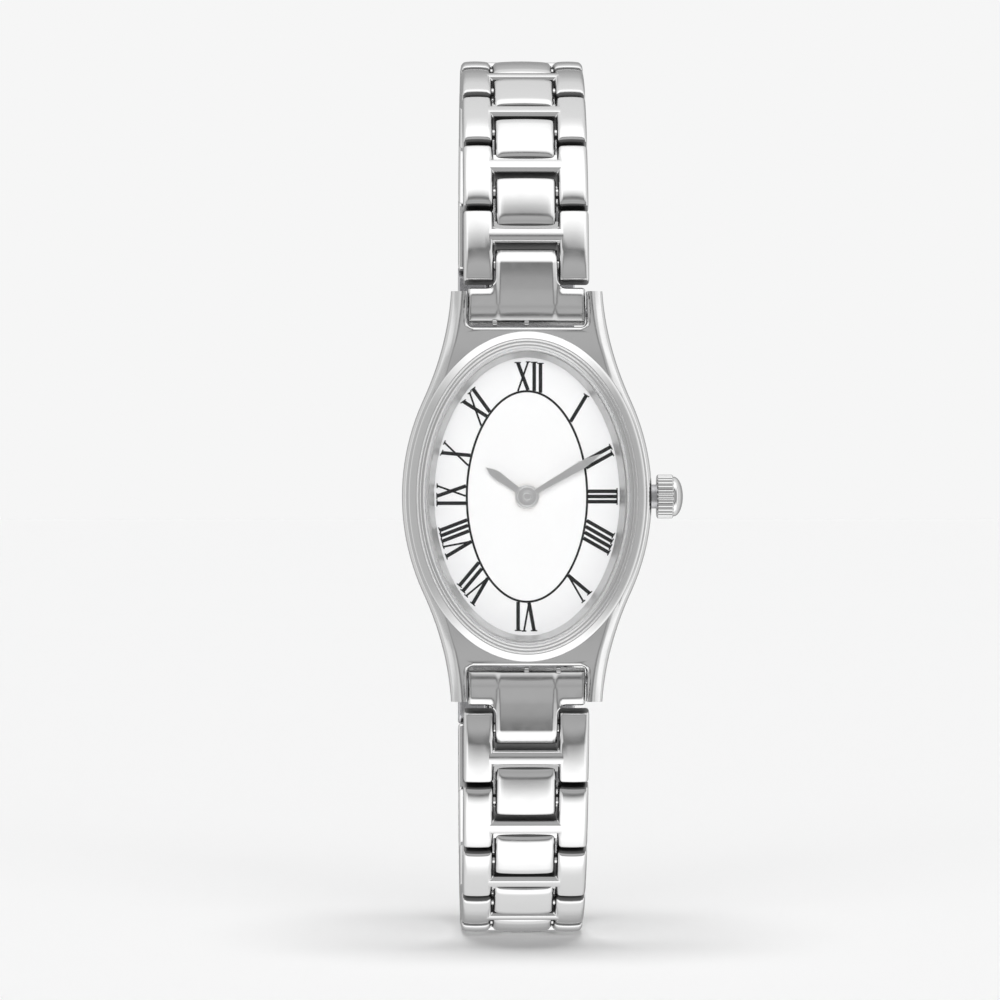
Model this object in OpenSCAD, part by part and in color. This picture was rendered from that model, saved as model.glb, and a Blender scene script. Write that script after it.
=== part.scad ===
// Tonneau-cased wristwatch on a closed steel bracelet of H-shaped links.
// Millimetres. +Z points to 12 o'clock, +X to 3 o'clock (the crown), and the dial faces -Y.
// The origin is the centre of the wrist opening, halfway from the case back to the clasp.

/* [Bracelet] */
// Width of a link, across both ears
link_w = 10.5; // [9.6:0.1:12]
// Thickness of a link
link_t = 2.4; // [2.2:0.1:2.6]
// Distance from one link pin to the next
pitch = 6.6; // [6.2:0.1:7.2]
// Width of the centre tongue
tongue_w = 5.2; // [4.6:0.1:5.6]
// Gap between a tongue and the ears beside it
side_gap = 0.12; // [0.08:0.01:0.2]
// How far an ear reaches past its own pin, towards the case
ear_reach = 1.6; // [1.5:0.05:1.7]
// How far a tongue reaches past the pin in it
tongue_reach = 1.33; // [1.25:0.01:1.4]
// Gap between the ears of two links that lie straight
end_gap = 0.2; // [0.15:0.01:0.3]
// Distance from a link's pin to the near face of its crossbar
bridge_start = 1.72; // [1.68:0.01:1.9]
// Length of the crossbar along the bracelet
bridge_len = 1.4; // [1.1:0.1:1.7]
// Diameter of a link pin
pin_d = 0.9; // [0.7:0.05:1]
// Edge bevel of the links
bevel = 0.25; // [0.15:0.05:0.35]
// Radius of the crown along a link's outer face
crown_r = 22; // [18:1:40]

/* [Loop] */
// Tilt of the end link, back from the plane of the lugs
end_tilt = 14; // [8:1:16]
// Distance from the spring bar to the end link's outer pin
end_pitch = 4.1; // [3.9:0.1:4.4]
// Gap between the end link's shoulders and the first link's ears
end_room = 0.5; // [0.4:0.05:0.6]
// Tilt of the first link
first_tilt = 22.3; // [20:0.1:24]
// Bend between the first two links
bend = 15.8; // [15:0.1:16]
// How much each further bend grows
bend_growth = 0.62; // [0.5:0.01:0.65]

/* [Case] */
// Width of the case at its middle
case_w = 20.8; // [20.6:0.1:22]
// Length of the case from lug tip to lug tip
case_l = 34.2; // [34:0.1:35]
// Width of the case across the lug tips
tip_w = 12.6; // [12.4:0.1:13.4]
// Radius of the case's bulging sides
side_r = 19.2; // [18.8:0.1:20]
// Gap between the two lugs of a pair
lug_gap = 10; // [9.8:0.1:10.2]
// Distance from a lug tip to the spring bar in it
bar_inset = 1.75; // [1.6:0.05:1.8]
// Distance from a spring bar to the case body behind it
bar_room = 1.25; // [1.15:0.05:1.3]
// Height of the spring bars above the case back's outer face
bar_h = 1.8; // [1.7:0.05:2]
// Height of the case's top face
case_top = 4.7; // [4.6:0.1:5]
// Height of the case's lower face
case_bottom = 0.5; // [0.4:0.05:0.6]
// How far the lugs drop from the case's top face
lug_drop = 1.9; // [1.6:0.1:2]

/* [Bezel and crystal] */
// Width of the bezel's outer ellipse
bezel_w = 19.8; // [19.4:0.1:20]
// Length of the bezel's outer ellipse
bezel_l = 27.5; // [27.2:0.1:27.8]
// Height of the bezel's domed top
bezel_top = 5.95; // [5.85:0.05:6.2]
// Width of the bezel, from its outer edge to the crystal gasket
bezel_ring = 1.1; // [1.05:0.01:1.15]
// Thickness of the crystal
crystal_t = 1.1; // [1:0.05:1.2]
// Rise of the crystal's dome
crystal_dome = 0.15; // [0.1:0.01:0.25]
// Width of the sloping flange that shows round the dial
flange_w = 0.55; // [0.5:0.01:0.65]

/* [Dial and hands] */
// Thickness of the dial
dial_t = 0.4; // [0.3:0.05:0.4]
// Height of the dial's face
dial_top = 3.7; // [3.65:0.01:3.72]
// Width of the oval line printed on the dial
oval_w = 10.2; // [9.6:0.1:10.6]
// Length of the oval line printed on the dial
oval_l = 17.7; // [17:0.1:18.2]
// Length of the minute hand from its centre
minute_l = 7.06; // [6.8:0.01:7.2]
// Length of the hour hand from its centre
hour_l = 4.2; // [3.8:0.1:4.6]
// Thickness of a hand
hand_t = 0.14; // [0.1:0.01:0.16]

/* [Crown] */
// Diameter of the crown
crown_d = 3.65; // [3.4:0.05:3.8]
// Length of the crown's fluted barrel
crown_l = 1.38; // [1.3:0.01:1.5]
// Rise of the crown's domed end
crown_dome = 0.86; // [0.7:0.01:0.95]
// Number of flutes round the crown
flutes = 28; // [24:1:32]
// Outer diameter of the crown tube
tube_d = 2; // [1.9:0.05:2.1]
// Height of the stem above the case back's outer face
stem_h = 2.35; // [2.3:0.01:2.4]
// How far the crown pulls out to set the hands
crown_travel = 0.8; // [0.6:0.05:0.8]

/* [Movement] */
// Width of the movement
move_w = 13; // [12.8:0.1:13.2]
// Length of the movement
move_l = 15.2; // [15:0.1:15.4]
// Diameter of the button cell
cell_d = 5.8; // [5.6:0.1:5.8]

/* [Clasp] */
// Radius of the clasp's inner face
clasp_r = 84; // [76:1:96]
// Thickness of the inner blade
inner_t = 0.7; // [0.6:0.05:0.72]
// Thickness of the middle blade
middle_t = 0.6; // [0.5:0.05:0.6]
// Thickness of the cover's skin and walls
cover_t = 0.75; // [0.65:0.05:0.8]
// Gap between the middle blade and each wall of the cover
blade_room = 0.2; // [0.15:0.05:0.4]
// Distance from a clasp end's pin to the blade hinge beside it
hinge_inset = 3.4; // [3.2:0.1:3.8]
// Diameter of a blade hinge's knuckle
knuckle_d = 1.5; // [1.4:0.02:1.5]
// Diameter of a blade hinge's pin
hinge_pin_d = 0.8; // [0.6:0.05:0.8]

/* [Hidden] */
$fn = 48;

// Clearances: a fixed pin in its hole, a turning pin in its bore, a soft seat
press = 0.01;
run = 0.05;
seat = 0.03;
// Links on each side of the case
links = 9;
// Distance between the two spring bars, and the length of the body between the lug gaps
bar_span = case_l - 2 * bar_inset;
body_l = bar_span - 2 * bar_room;
half_t = link_t / 2;
ear_in = tongue_w / 2 + side_gap;
ear_far = pitch - ear_reach - end_gap;
// Width of the clasp's middle blade, which folds in between the cover's walls
middle_w = link_w - 2 * (cover_t + blade_room);
// Segments of a drawn ellipse, and of the large arcs of the clasp
ellipse_n = 72;
arc_fn = 720;

// Colours of the finishes
steel = "silver";
brushed = "darkgray";
gilt = "goldenrod";

// The loop in the YZ plane: tilts in degrees back from the lug plane, pivots as [y, z]
function tilt(i) = i == 0 ? end_tilt
    : first_tilt + (i - 1) * bend + bend_growth * (i - 1) * (i - 2) / 2;
function along(t) = [sin(t), cos(t)];
function from_bar(i) = i == 0 ? end_pitch * along(end_tilt)
    : from_bar(i - 1) + pitch * along(tilt(i));
// The clasp is an arc through the last pivots of both halves
clasp_v = half_t + 0.1;
pivot_r = clasp_r + clasp_v;
last_z = bar_span / 2 + from_bar(links)[1];
clasp_half = asin(last_z / pivot_r);
opening = from_bar(links)[0] - bar_h + pivot_r * (1 - cos(clasp_half)) - clasp_v;
back_y = -opening / 2;
bar_y = back_y - bar_h;
clasp_y = back_y + opening - clasp_r;
function pivot(i) = [bar_y, bar_span / 2] + from_bar(i);
// Arc length along the clasp from its middle to an end pin, and to a blade hinge
pin_c = pivot_r * clasp_half * PI / 180;
hinge_c = pin_c - hinge_inset;
function clasp_angle(c) = c / pivot_r * 180 / PI;
function on_clasp(c, v) =
    [clasp_y + (clasp_r + v) * cos(clasp_angle(c)), (clasp_r + v) * sin(clasp_angle(c))];

// Sweeps a [y, z] profile along X, centred or from x0 to x1
module across(width) {
    rotate([90, 0, 90]) linear_extrude(width, center = true) children();
}
module between(x0, x1) {
    translate([x0, 0, 0]) rotate([90, 0, 90]) linear_extrude(x1 - x0) children();
}
// A round bar along X, at [y, z]
module bar_x(r, x0, x1, at = [0, 0]) {
    translate([x0, at[0], at[1]]) rotate([0, 90, 0]) cylinder(r = r, h = x1 - x0);
}
// Stands a piece on a pivot of the chain, with its own +Z along the bracelet
module at_pivot(i, t) {
    translate([0, pivot(i)[0], pivot(i)[1]]) rotate([-t, 0, 0]) children();
}
module at_bar() {
    translate([0, bar_y, bar_span / 2]) rotate([-end_tilt, 0, 0]) children();
}
module lower() {
    mirror([0, 0, 1]) children();
}
// Watch-head coordinates: x right, y to 12 o'clock, z out of the dial
module head() {
    translate([0, back_y, 0]) rotate([90, 0, 0]) children();
}

// Points round an ellipse of the bezel's size, drawn in by a constant width
function inset_point(k, inset, n = ellipse_n) =
    let (a = bezel_w / 2, b = bezel_l / 2, t = 360 * k / n,
         nx = b * cos(t), ny = a * sin(t), m = norm([nx, ny]))
    [a * cos(t) - inset * nx / m, b * sin(t) - inset * ny / m];
function inset_oval(inset, n = ellipse_n) = [for (k = [0 : n - 1]) inset_point(k, inset, n)];

module oval_slab(inset, z0, z1) {
    translate([0, 0, z0]) linear_extrude(z1 - z0) polygon(inset_oval(inset));
}
// A closed ring: a profile of [inset, height] points, swept round the ellipse
module oval_ring(profile) {
    m = len(profile);
    points = [for (k = [0 : ellipse_n - 1], q = profile)
        let (p = inset_point(k, q[0])) [p[0], p[1], q[1]]];
    faces = [for (k = [0 : ellipse_n - 1], j = [0 : m - 1])
        let (a = k * m + j, b = k * m + (j + 1) % m,
             c = ((k + 1) % ellipse_n) * m + j, d = ((k + 1) % ellipse_n) * m + (j + 1) % m)
        each [[a, c, b], [b, c, d]]];
    polyhedron(points, faces);
}

// Half the width of the case at a height y from its middle: a bulging arc, then a flare
tangent_y = 8;
function arc_half(y) = case_w / 2 - side_r + sqrt(side_r * side_r - y * y);
flare_w = arc_half(tangent_y);
flare_m = -tangent_y / sqrt(side_r * side_r - tangent_y * tangent_y);
flare_l = case_l / 2 - tangent_y;
flare_k = (tip_w / 2 - flare_w - flare_m * flare_l) / (flare_l * flare_l);
function half_width(y) = let (u = abs(y)) u <= tangent_y ? arc_half(u)
    : flare_w + flare_m * (u - tangent_y) + flare_k * pow(u - tangent_y, 2);
// Height of the case's top and lower faces at y
drop_y = 12.5;
tuck_y = 13;
lug_tuck = 0.25;
function top_z(y) = case_top
    - lug_drop * pow(max(0, abs(y) - drop_y) / (case_l / 2 - drop_y), 2);
function bottom_z(y) = case_bottom
    - lug_tuck * sin(180 * max(0, abs(y) - tuck_y) / (case_l / 2 - tuck_y));
// Half a cross-section of the case at y, from the lower edge to the upper edge
function flank(y) = let (w = half_width(y), z0 = bottom_z(y), z1 = top_z(y), h = z1 - z0)
    [[w - 0.9, z0], [w - 0.45, z0 + 0.12 * h], [w - 0.14, z0 + 0.35 * h], [w, z0 + 0.62 * h],
     [w - 0.04, z1 - 0.3], [w - 0.14, z1 - 0.1], [w - 0.3, z1]];
function section(y) = concat(flank(y),
    [for (k = [6 : -1 : 0]) let (p = flank(y)[k]) [-p[0], p[1]]]);
// Heights of the case's cross-sections, closer together towards the tips
tip_round = 0.35;
rows = let (e = case_l / 2)
    [-e, -e + 0.12, -e + tip_round, -15.4, -14, -tuck_y, -drop_y, -11, -9.5, -8, -6, -4,
     -2, 0, 2, 4, 6, 8, 9.5, 11, drop_y, tuck_y, 14, 15.4, e - tip_round, e - 0.12, e];
// The tip's cross-sections shrink a little, which rounds the lug tips off
function tip_shrink(y) = let (u = case_l / 2 - abs(y))
    u >= tip_round ? 0 : 0.22 * (1 - sqrt(1 - pow(1 - u / tip_round, 2)));
module case_blank() {
    m = 14;
    n = len(rows);
    points = [for (y = rows, q = section(y))
        let (s = tip_shrink(y), mid = (top_z(y) + bottom_z(y)) / 2)
        [q[0] - sign(q[0]) * s, y, mid + (q[1] - mid) * (1 - s)]];
    sides = [for (r = [0 : n - 2], j = [0 : m - 1])
        let (a = r * m + j, b = r * m + (j + 1) % m, c = a + m, d = b + m)
        each [[a, b, c], [b, d, c]]];
    first = [for (j = [m - 1 : -1 : 0]) j];
    last = [for (j = [0 : m - 1]) (n - 1) * m + j];
    polyhedron(points, concat([first, last], [for (f = sides) [f[0], f[2], f[1]]]));
}

// Heights inside the head, above the case back's outer face
back_t = 0.5;
bezel_seat = case_top - 0.3;
cavity_in = 1.35;
shelf_z = dial_top + 0.05;
open_in = bezel_ring + 0.5;
ledge_z = bezel_top - 0.95;
flange_in = open_in + seat;
spring_bar_r = 0.6;
tip_r = 0.35;
tip_l = 0.6;

module case_middle() {
    color(steel) head() difference() {
        case_blank();
        oval_slab(-seat, bezel_seat, case_top + 1);
        oval_slab(open_in, 0, case_top + 1);
        oval_slab(cavity_in, 0, shelf_z);
        for (side = [-1, 1]) {
            translate([-lug_gap / 2, side > 0 ? body_l / 2 : -case_l / 2 - 1, -1])
                cube([lug_gap, (case_l - body_l) / 2 + 1, case_top + 2]);
            bar_x(tip_r + seat, -lug_gap / 2 - tip_l - 0.1, lug_gap / 2 + tip_l + 0.1,
                [side * bar_span / 2, bar_h]);
        }
        bar_x(tube_d / 2 + press, 0, case_w / 2 + 1, [0, stem_h]);
    }
}

// The bezel's cross-section: a polished dome, a groove and an inner bead
function bezel_profile() = let (w = bezel_ring, z = bezel_top) [
    [0, bezel_seat], [0, z - 1], [0.06, z - 0.62], [0.2, z - 0.28], [0.4, z - 0.08],
    [0.56, z - 0.04], [0.68, z - 0.12], [0.72, z - 0.22], [0.78, z - 0.22], [0.84, z - 0.04],
    [w - 0.1, z], [w, z - 0.06], [w, ledge_z], [open_in, ledge_z], [open_in, bezel_seat]];
module bezel() {
    color(steel) head() oval_ring(bezel_profile());
}

gasket_w = 0.15;
crystal_in = bezel_ring + gasket_w + 2 * press;
crystal_z = ledge_z + 0.02;
crystal_bevel = 0.25;
module crystal_gasket() {
    color("dimgray") head() oval_ring([
        [bezel_ring + press, crystal_z], [bezel_ring + press, bezel_top - 0.12],
        [bezel_ring + press + gasket_w, bezel_top - 0.12],
        [bezel_ring + press + gasket_w, crystal_z]]);
}

// Rings of the crystal's domed face, from its bevel to its middle
function dome_z(f) = crystal_z + crystal_t + crystal_dome * (1 - f * f);
module crystal() {
    dome = [1, 0.85, 0.65, 0.4, 0.15];
    n = ellipse_n;
    edge = inset_oval(crystal_in);
    face = inset_oval(crystal_in + crystal_bevel);
    points = concat(
        [for (p = edge) [p[0], p[1], crystal_z]],
        [for (p = edge) [p[0], p[1], crystal_z + crystal_t - crystal_bevel]],
        [for (f = dome, p = face) [p[0] * f, p[1] * f, dome_z(f)]],
        [[0, 0, dome_z(0)]]);
    loops = len(dome) + 2;
    walls = [for (r = [0 : loops - 2], k = [0 : n - 1])
        let (a = r * n + k, b = r * n + (k + 1) % n)
        each [[a, a + n, b], [b, a + n, b + n]]];
    cap = [for (k = [0 : n - 1]) [(loops - 1) * n + k, loops * n, (loops - 1) * n + (k + 1) % n]];
    color("lightcyan", 0.4) head()
        polyhedron(points, concat([[for (k = [0 : n - 1]) k]], walls, cap));
}

module dial_flange() {
    z0 = dial_top + 0.02;
    color("gray") head() oval_ring([
        [flange_in, z0], [flange_in, crystal_z - seat], [flange_in + 0.08, crystal_z - seat],
        [flange_in + flange_w, z0 + 0.12], [flange_in + flange_w, z0]]);
}

// The dial, with its oval line and twelve raised hour strokes
function oval_points(w, l) = [for (k = [0 : ellipse_n - 1]) let (t = 360 * k / ellipse_n)
    [w / 2 * cos(t), l / 2 * sin(t)]];
line_w = 0.14;
print_t = 0.02;
arbor_hole_r = 0.9;
module dial() {
    color("white") head() difference() {
        union() {
            oval_slab(cavity_in + seat, dial_top - dial_t, dial_top - print_t);
            oval_slab(flange_in + flange_w + 0.05, dial_top - dial_t, dial_top);
        }
        translate([0, 0, dial_top - print_t]) linear_extrude(1) difference() {
            polygon(oval_points(oval_w, oval_l));
            polygon(oval_points(oval_w - 2 * line_w, oval_l - 2 * line_w));
        }
        translate([0, 0, dial_top - 1]) cylinder(r = arbor_hole_r, h = 2);
    }
}

rim_in = cavity_in + 0.4;
module case_back() {
    color(brushed) head() union() {
        oval_slab(cavity_in - 0.5, 0, back_t - press);
        difference() {
            oval_slab(rim_in, back_t - 0.1, 1.05);
            oval_slab(rim_in + 0.7, back_t, 2);
        }
    }
}
module back_gasket() {
    color("black") head() oval_ring([
        [cavity_in + seat, back_t + seat], [cavity_in + seat, back_t + 0.35],
        [rim_in - seat, back_t + 0.35], [rim_in - seat, back_t + seat]]);
}

// Heights of the movement's layers
bridge_z = 1.12;
plate_z = 2.2;
move_top = dial_top - dial_t - seat;
work_z = 2.62;
corner_r = 2.2;
module move_outline(grow = 0) {
    x = move_w / 2 - corner_r;
    y = move_l / 2 - corner_r;
    r = corner_r + grow;
    polygon([for (q = [[x, y, 0], [-x, y, 90], [-x, -y, 180], [x, -y, 270]], k = [0 : 6])
        [q[0] + r * cos(q[2] + 15 * k), q[1] + r * sin(q[2] + 15 * k)]]);
}
module movement_ring() {
    color("ivory") head() difference() {
        oval_slab(cavity_in + seat, 1.12, move_top);
        linear_extrude(5) move_outline(seat);
        bar_x(tube_d / 2 + run, move_w / 2 - 1, case_w / 2, [0, stem_h]);
    }
}

// Places in the movement, as [x, y]
cell_at = [-3.05, -4.2];
coil_at = [4.7, -3.6];
rotor_at = [1.95, -2.1];
inter_at = [2.15, 1.0];
minute_at = [-1.2, 1.47];
stem_r = 0.45;
pivot_d = 0.24;
coil_l = 4;
core_l = 4.78;
module main_plate() {
    color(gilt) head() difference() {
        translate([0, 0, plate_z]) linear_extrude(move_top - plate_z) move_outline();
        translate([cell_at[0], cell_at[1], 0]) cylinder(d = cell_d + 0.3, h = 5);
        translate([coil_at[0] - 1, coil_at[1] - 3, 0]) cube([2, 6, 2.8]);
        translate([0, 0, work_z]) cylinder(r = 1.8, h = 2);
        translate([minute_at[0], minute_at[1], work_z]) cylinder(r = 1.65, h = 2);
        cylinder(r = 0.35, h = 5);
        for (p = [rotor_at, inter_at])
            translate([p[0], p[1], 2]) cylinder(r = pivot_d / 2 + seat, h = 0.4);
        translate([minute_at[0], minute_at[1], 2]) cylinder(r = pivot_d / 2 + seat, h = 1);
        bar_x(stem_r + run, 3, move_w, [0, stem_h]);
        translate([3.2, -0.7, 0]) cube([2 + crown_travel, 1.9, 2.75]);
    }
}
module train_bridge() {
    color(brushed) head() difference() {
        translate([0, 0, bridge_z]) union() {
            linear_extrude(0.3) polygon([[-2.4, -1.2], [-0.6, -0.95], [0.9, -3.3], [2.9, -3.3],
                [3.1, -0.9], [6.1, 0.4], [6.1, 5.6], [3.2, 6.2], [-2.4, 3.4]]);
            for (p = [[5.4, 4.6], [3.1, 5.3], [-1.75, 3.0]])
                translate([p[0], p[1], 0]) cylinder(r = 0.55, h = plate_z - bridge_z - seat);
        }
        for (p = [rotor_at, inter_at])
            translate([p[0], p[1], 0]) cylinder(r = pivot_d / 2 + seat, h = 5);
    }
}
module battery() {
    color(steel) head() translate([cell_at[0], cell_at[1], 0]) {
        translate([0, 0, 1.1]) cylinder(d = cell_d, h = 1.3);
        translate([0, 0, 2.4]) cylinder(d = cell_d - 1, h = 0.25);
    }
}
module battery_clamp() {
    color(brushed) head() translate([cell_at[0], cell_at[1], 0]) intersection() {
        translate([0, 0, 0.98]) linear_extrude(0.1)
            polygon([[-3.2, -1.1], [2.2, -1.1], [3.4, 0.4], [3.4, 1.8], [-3.2, 1.8]]);
        translate([0, 0, 0]) cylinder(r = 3.9, h = 3);
    }
}
module circuit_board() {
    color("darkgreen") head() difference() {
        translate([0, 0, 1.55]) linear_extrude(0.2) polygon([[-6.1, 0.4], [-3.1, -0.6],
            [-2.75, 1.2], [-2.75, 3.9], [0.2, 6.3], [-3.6, 6.9], [-6.1, 4.6]]);
        translate([-5, 4, 0]) cylinder(r = 0.5, h = 3);
    }
}
module motor_coil() {
    color("chocolate") head() translate([coil_at[0], coil_at[1], 1.9]) rotate([90, 0, 0]) {
        cylinder(r = 0.7, h = coil_l, center = true);
        cylinder(r = 0.3, h = core_l, center = true);
    }
}
// A flat plate round the rotor, with an arm to each end of the coil's core
module stator() {
    near = coil_at[1] + core_l / 2 + press;
    far = coil_at[1] - core_l / 2 - press;
    color(brushed) head() difference() {
        translate([0, 0, 1.96]) linear_extrude(0.2) polygon([[0.9, -3.3], [2.3, -3.3],
            [2.3, far - 0.34], [5.3, far - 0.34], [5.3, far], [3.3, far], [3.3, -1.6],
            [3.7, near], [5.3, near], [5.3, near + 0.34], [3.2, near + 0.34], [2.7, -1.1],
            [0.9, -1.1]]);
        translate([rotor_at[0], rotor_at[1], 0]) cylinder(r = 0.85, h = 5);
    }
}
// A wheel or pinion: pitch radius from its teeth and module
module gear(teeth, pitch_r, thick) {
    m = 2 * pitch_r / teeth;
    linear_extrude(thick) polygon([for (k = [0 : 2 * teeth - 1])
        let (r = pitch_r + (k % 2 == 0 ? 0.35 : -0.45) * m, a = 180 * k / teeth)
        [r * cos(a), r * sin(a)]]);
}
// The train: rotor 6 to 60, then 7 to 63; motion work 12 to 36, then 10 to 40
gear_clear = 0.02;
d1 = norm(rotor_at - inter_at) - gear_clear;
d2 = norm(inter_at) - gear_clear;
d3 = norm(minute_at) - gear_clear;
module rotor() {
    color("slategray") head() translate([rotor_at[0], rotor_at[1], 0]) {
        translate([0, 0, bridge_z]) cylinder(d = pivot_d, h = 1.2);
        translate([0, 0, 1.94]) cylinder(r = 0.62, h = 0.22);
        translate([0, 0, 1.5]) gear(6, d1 * 6 / 66, 0.3);
    }
}
module intermediate_wheel() {
    color(gilt) head() translate([inter_at[0], inter_at[1], 0]) {
        translate([0, 0, bridge_z]) cylinder(d = pivot_d, h = 1.2);
        translate([0, 0, 1.5]) gear(60, d1 * 60 / 66, 0.15);
        translate([0, 0, 1.6]) gear(7, d2 * 7 / 70, 0.35);
    }
}
minute_z = dial_top + 0.72;
hour_z = dial_top + 0.36;
arbor_z = 1.72;
arbor_r = 0.3;
pipe_r = 0.42;
module centre_wheel() {
    color(gilt) head() {
        translate([0, 0, arbor_z]) cylinder(r = arbor_r, h = minute_z + hand_t - arbor_z);
        translate([0, 0, arbor_z + 0.03]) gear(63, d2 * 63 / 70, 0.15);
        translate([0, 0, work_z + 0.06]) gear(12, d3 * 12 / 48, 0.22);
    }
}
module minute_wheel() {
    color(gilt) head() translate([minute_at[0], minute_at[1], 0]) {
        translate([0, 0, plate_z]) cylinder(d = pivot_d, h = 0.8);
        translate([0, 0, work_z + 0.08]) gear(36, d3 * 36 / 48, 0.15);
        translate([0, 0, work_z + 0.15]) gear(10, d3 * 10 / 50, 0.42);
    }
}
module hour_wheel() {
    color(gilt) head() difference() {
        union() {
            translate([0, 0, work_z + 0.36]) gear(40, d3 * 40 / 50, 0.16);
            translate([0, 0, work_z + 0.36])
                cylinder(r = pipe_r + 0.2, h = hour_z + hand_t - work_z - 0.36);
        }
        cylinder(r = arbor_r + run, h = 10);
    }
}
// A lance hand: narrow at the hub, widest near its point
module hand(length, waist, belly, hub_r, bore_r) {
    difference() {
        linear_extrude(hand_t) union() {
            polygon([[-waist / 2, 0], [waist / 2, 0], [belly / 2, length * 0.72],
                [belly * 0.3, length * 0.86], [0, length], [-belly * 0.3, length * 0.86],
                [-belly / 2, length * 0.72]]);
            circle(r = hub_r);
        }
        translate([0, 0, -1]) cylinder(r = bore_r, h = 3);
    }
}
// The hands stand at ten past ten
minute_turn = -60;
hour_turn = 55;
module minute_hand() {
    color("dimgray") head() translate([0, 0, minute_z]) rotate([0, 0, minute_turn])
        hand(minute_l, 0.38, 0.72, 0.85, arbor_r + press);
}
module hour_hand() {
    color("dimgray") head() translate([0, 0, hour_z]) rotate([0, 0, hour_turn])
        hand(hour_l, 0.42, 0.8, 1, pipe_r + 0.2 + press);
}

// The crown along X: the tube stands out of the case, and the crown closes over it
crown_x = case_w / 2 + 0.43;
tube_in = 0.55;
module winding_crown() {
    r = crown_d / 2;
    flute_r = PI * crown_d / flutes * 0.32;
    color(steel) head() difference() {
        translate([crown_x, 0, stem_h]) rotate([0, 90, 0]) rotate_extrude($fn = 96) polygon(concat(
            [[0, 0], [r - 0.12, 0], [r, 0.12], [r, crown_l - 0.08], [r - 0.1, crown_l]],
            [for (a = [0 : 10 : 90]) [(r - 0.12) * cos(a), crown_l + crown_dome * sin(a)]]));
        bar_x(tube_d / 2 + run, crown_x - 1, crown_x + 1.15, [0, stem_h]);
        bar_x(tube_d / 2 + 0.42, crown_x + 0.3, crown_x + 0.75, [0, stem_h]);
        bar_x(stem_r + press, crown_x, crown_x + 1.5, [0, stem_h]);
        for (k = [0 : flutes - 1])
            translate([crown_x - 0.1, 0, stem_h]) rotate([360 * k / flutes, 0, 0])
                translate([0, r + flute_r * 0.35, 0]) rotate([0, 90, 0])
                    cylinder(r = flute_r, h = crown_l + 0.02, $fn = 16);
    }
}
groove_x = 4.6;
module crown_stem() {
    color(brushed) head() difference() {
        bar_x(stem_r, 3.4, crown_x + 1.48, [0, stem_h]);
        difference() {
            bar_x(1, groove_x, groove_x + 0.5, [0, stem_h]);
            bar_x(stem_r - 0.15, groove_x - 1, groove_x + 2, [0, stem_h]);
        }
    }
}
module crown_tube() {
    color(brushed) head() difference() {
        bar_x(tube_d / 2, case_w / 2 - 1.7, crown_x + 1.1, [0, stem_h]);
        bar_x(tube_in, 0, case_w, [0, stem_h]);
    }
}
module crown_gasket() {
    color("black") head() difference() {
        bar_x(tube_d / 2 + 0.4, crown_x + 0.33, crown_x + 0.72, [0, stem_h]);
        bar_x(tube_d / 2 + seat, crown_x, crown_x + 1, [0, stem_h]);
    }
}
// A forked plate that rides in the stem's groove
module setting_lever() {
    color(brushed) head() difference() {
        translate([groove_x + 0.06, -0.5, 2.0]) cube([0.38, 1.5, 0.7]);
        bar_x(stem_r - 0.15 + run, groove_x - 1, groove_x + 2, [0, stem_h]);
        translate([groove_x - 1, -2, stem_h - 0.2]) cube([3, 2, 0.4]);
    }
}

module spring_bar() {
    union() {
        bar_x(spring_bar_r, -lug_gap / 2 + 0.08, lug_gap / 2 - 0.08);
        bar_x(tip_r, -lug_gap / 2 - tip_l, lug_gap / 2 + tip_l);
    }
}
module upper_spring_bar() {
    color(brushed) translate([0, bar_y, bar_span / 2]) spring_bar();
}
module lower_spring_bar() {
    color(brushed) lower() translate([0, bar_y, bar_span / 2]) spring_bar();
}

// Side profiles of the links, as [inward, along] points; the outer face is at -half_t
function ear_profile(far) = let (h = half_t, b = bevel, r = ear_reach, a = asin(h / r))
    concat([for (k = [0 : 5]) let (t = a * (1 - k / 5)) [r * sin(t), -r * cos(t)]],
        [[-h + b, -r], [-h, -r + b], [-h, far - b], [-h + b, far], [h - b, far],
         [h, far - b]]);
function tongue_profile(start, pin) = let (h = half_t - 0.05, b = bevel, r = tongue_reach)
    concat([[h, start], [-h + b, start], [-h, start + b], [-h, pin + r - 0.38],
            [-h + 0.3, pin + r]],
        [for (k = [0 : 5]) let (t = asin(h / r) * k / 5) [r * sin(t), pin + r * cos(t)]]);
// A cross-section of a bar from x0 to x1, with its edges bevelled
module bar_section(x0, x1, h) {
    b = bevel;
    polygon([[x0 + b, -h], [x1 - b, -h], [x1, -h + b], [x1, h - b * 0.6], [x1 - b * 0.6, h],
        [x0 + b * 0.6, h], [x0, h - b * 0.6], [x0, -h + b]]);
}
module crowned(mid, h) {
    intersection() {
        children();
        bar_x(crown_r, -link_w, link_w, [crown_r - h, mid]);
    }
}
// Both ears about a pin at the origin
module ears(far) {
    for (side = [0, 1]) mirror([side, 0, 0]) crowned((far - ear_reach) / 2, half_t)
        intersection() {
            between(ear_in, link_w / 2) polygon(ear_profile(far));
            translate([0, 0, -ear_reach - 1]) linear_extrude(far + ear_reach + 2)
                bar_section(ear_in, link_w / 2, half_t);
        }
}
// A tongue from a start to a pin, both along the bracelet
module tongue(start, pin) {
    crowned((start + pin + tongue_reach) / 2, half_t - 0.03) intersection() {
        across(tongue_w) polygon(tongue_profile(start, pin));
        translate([0, 0, start - 1]) linear_extrude(pin - start + tongue_reach + 2)
            bar_section(-tongue_w / 2, tongue_w / 2, half_t - 0.05);
    }
}
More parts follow.
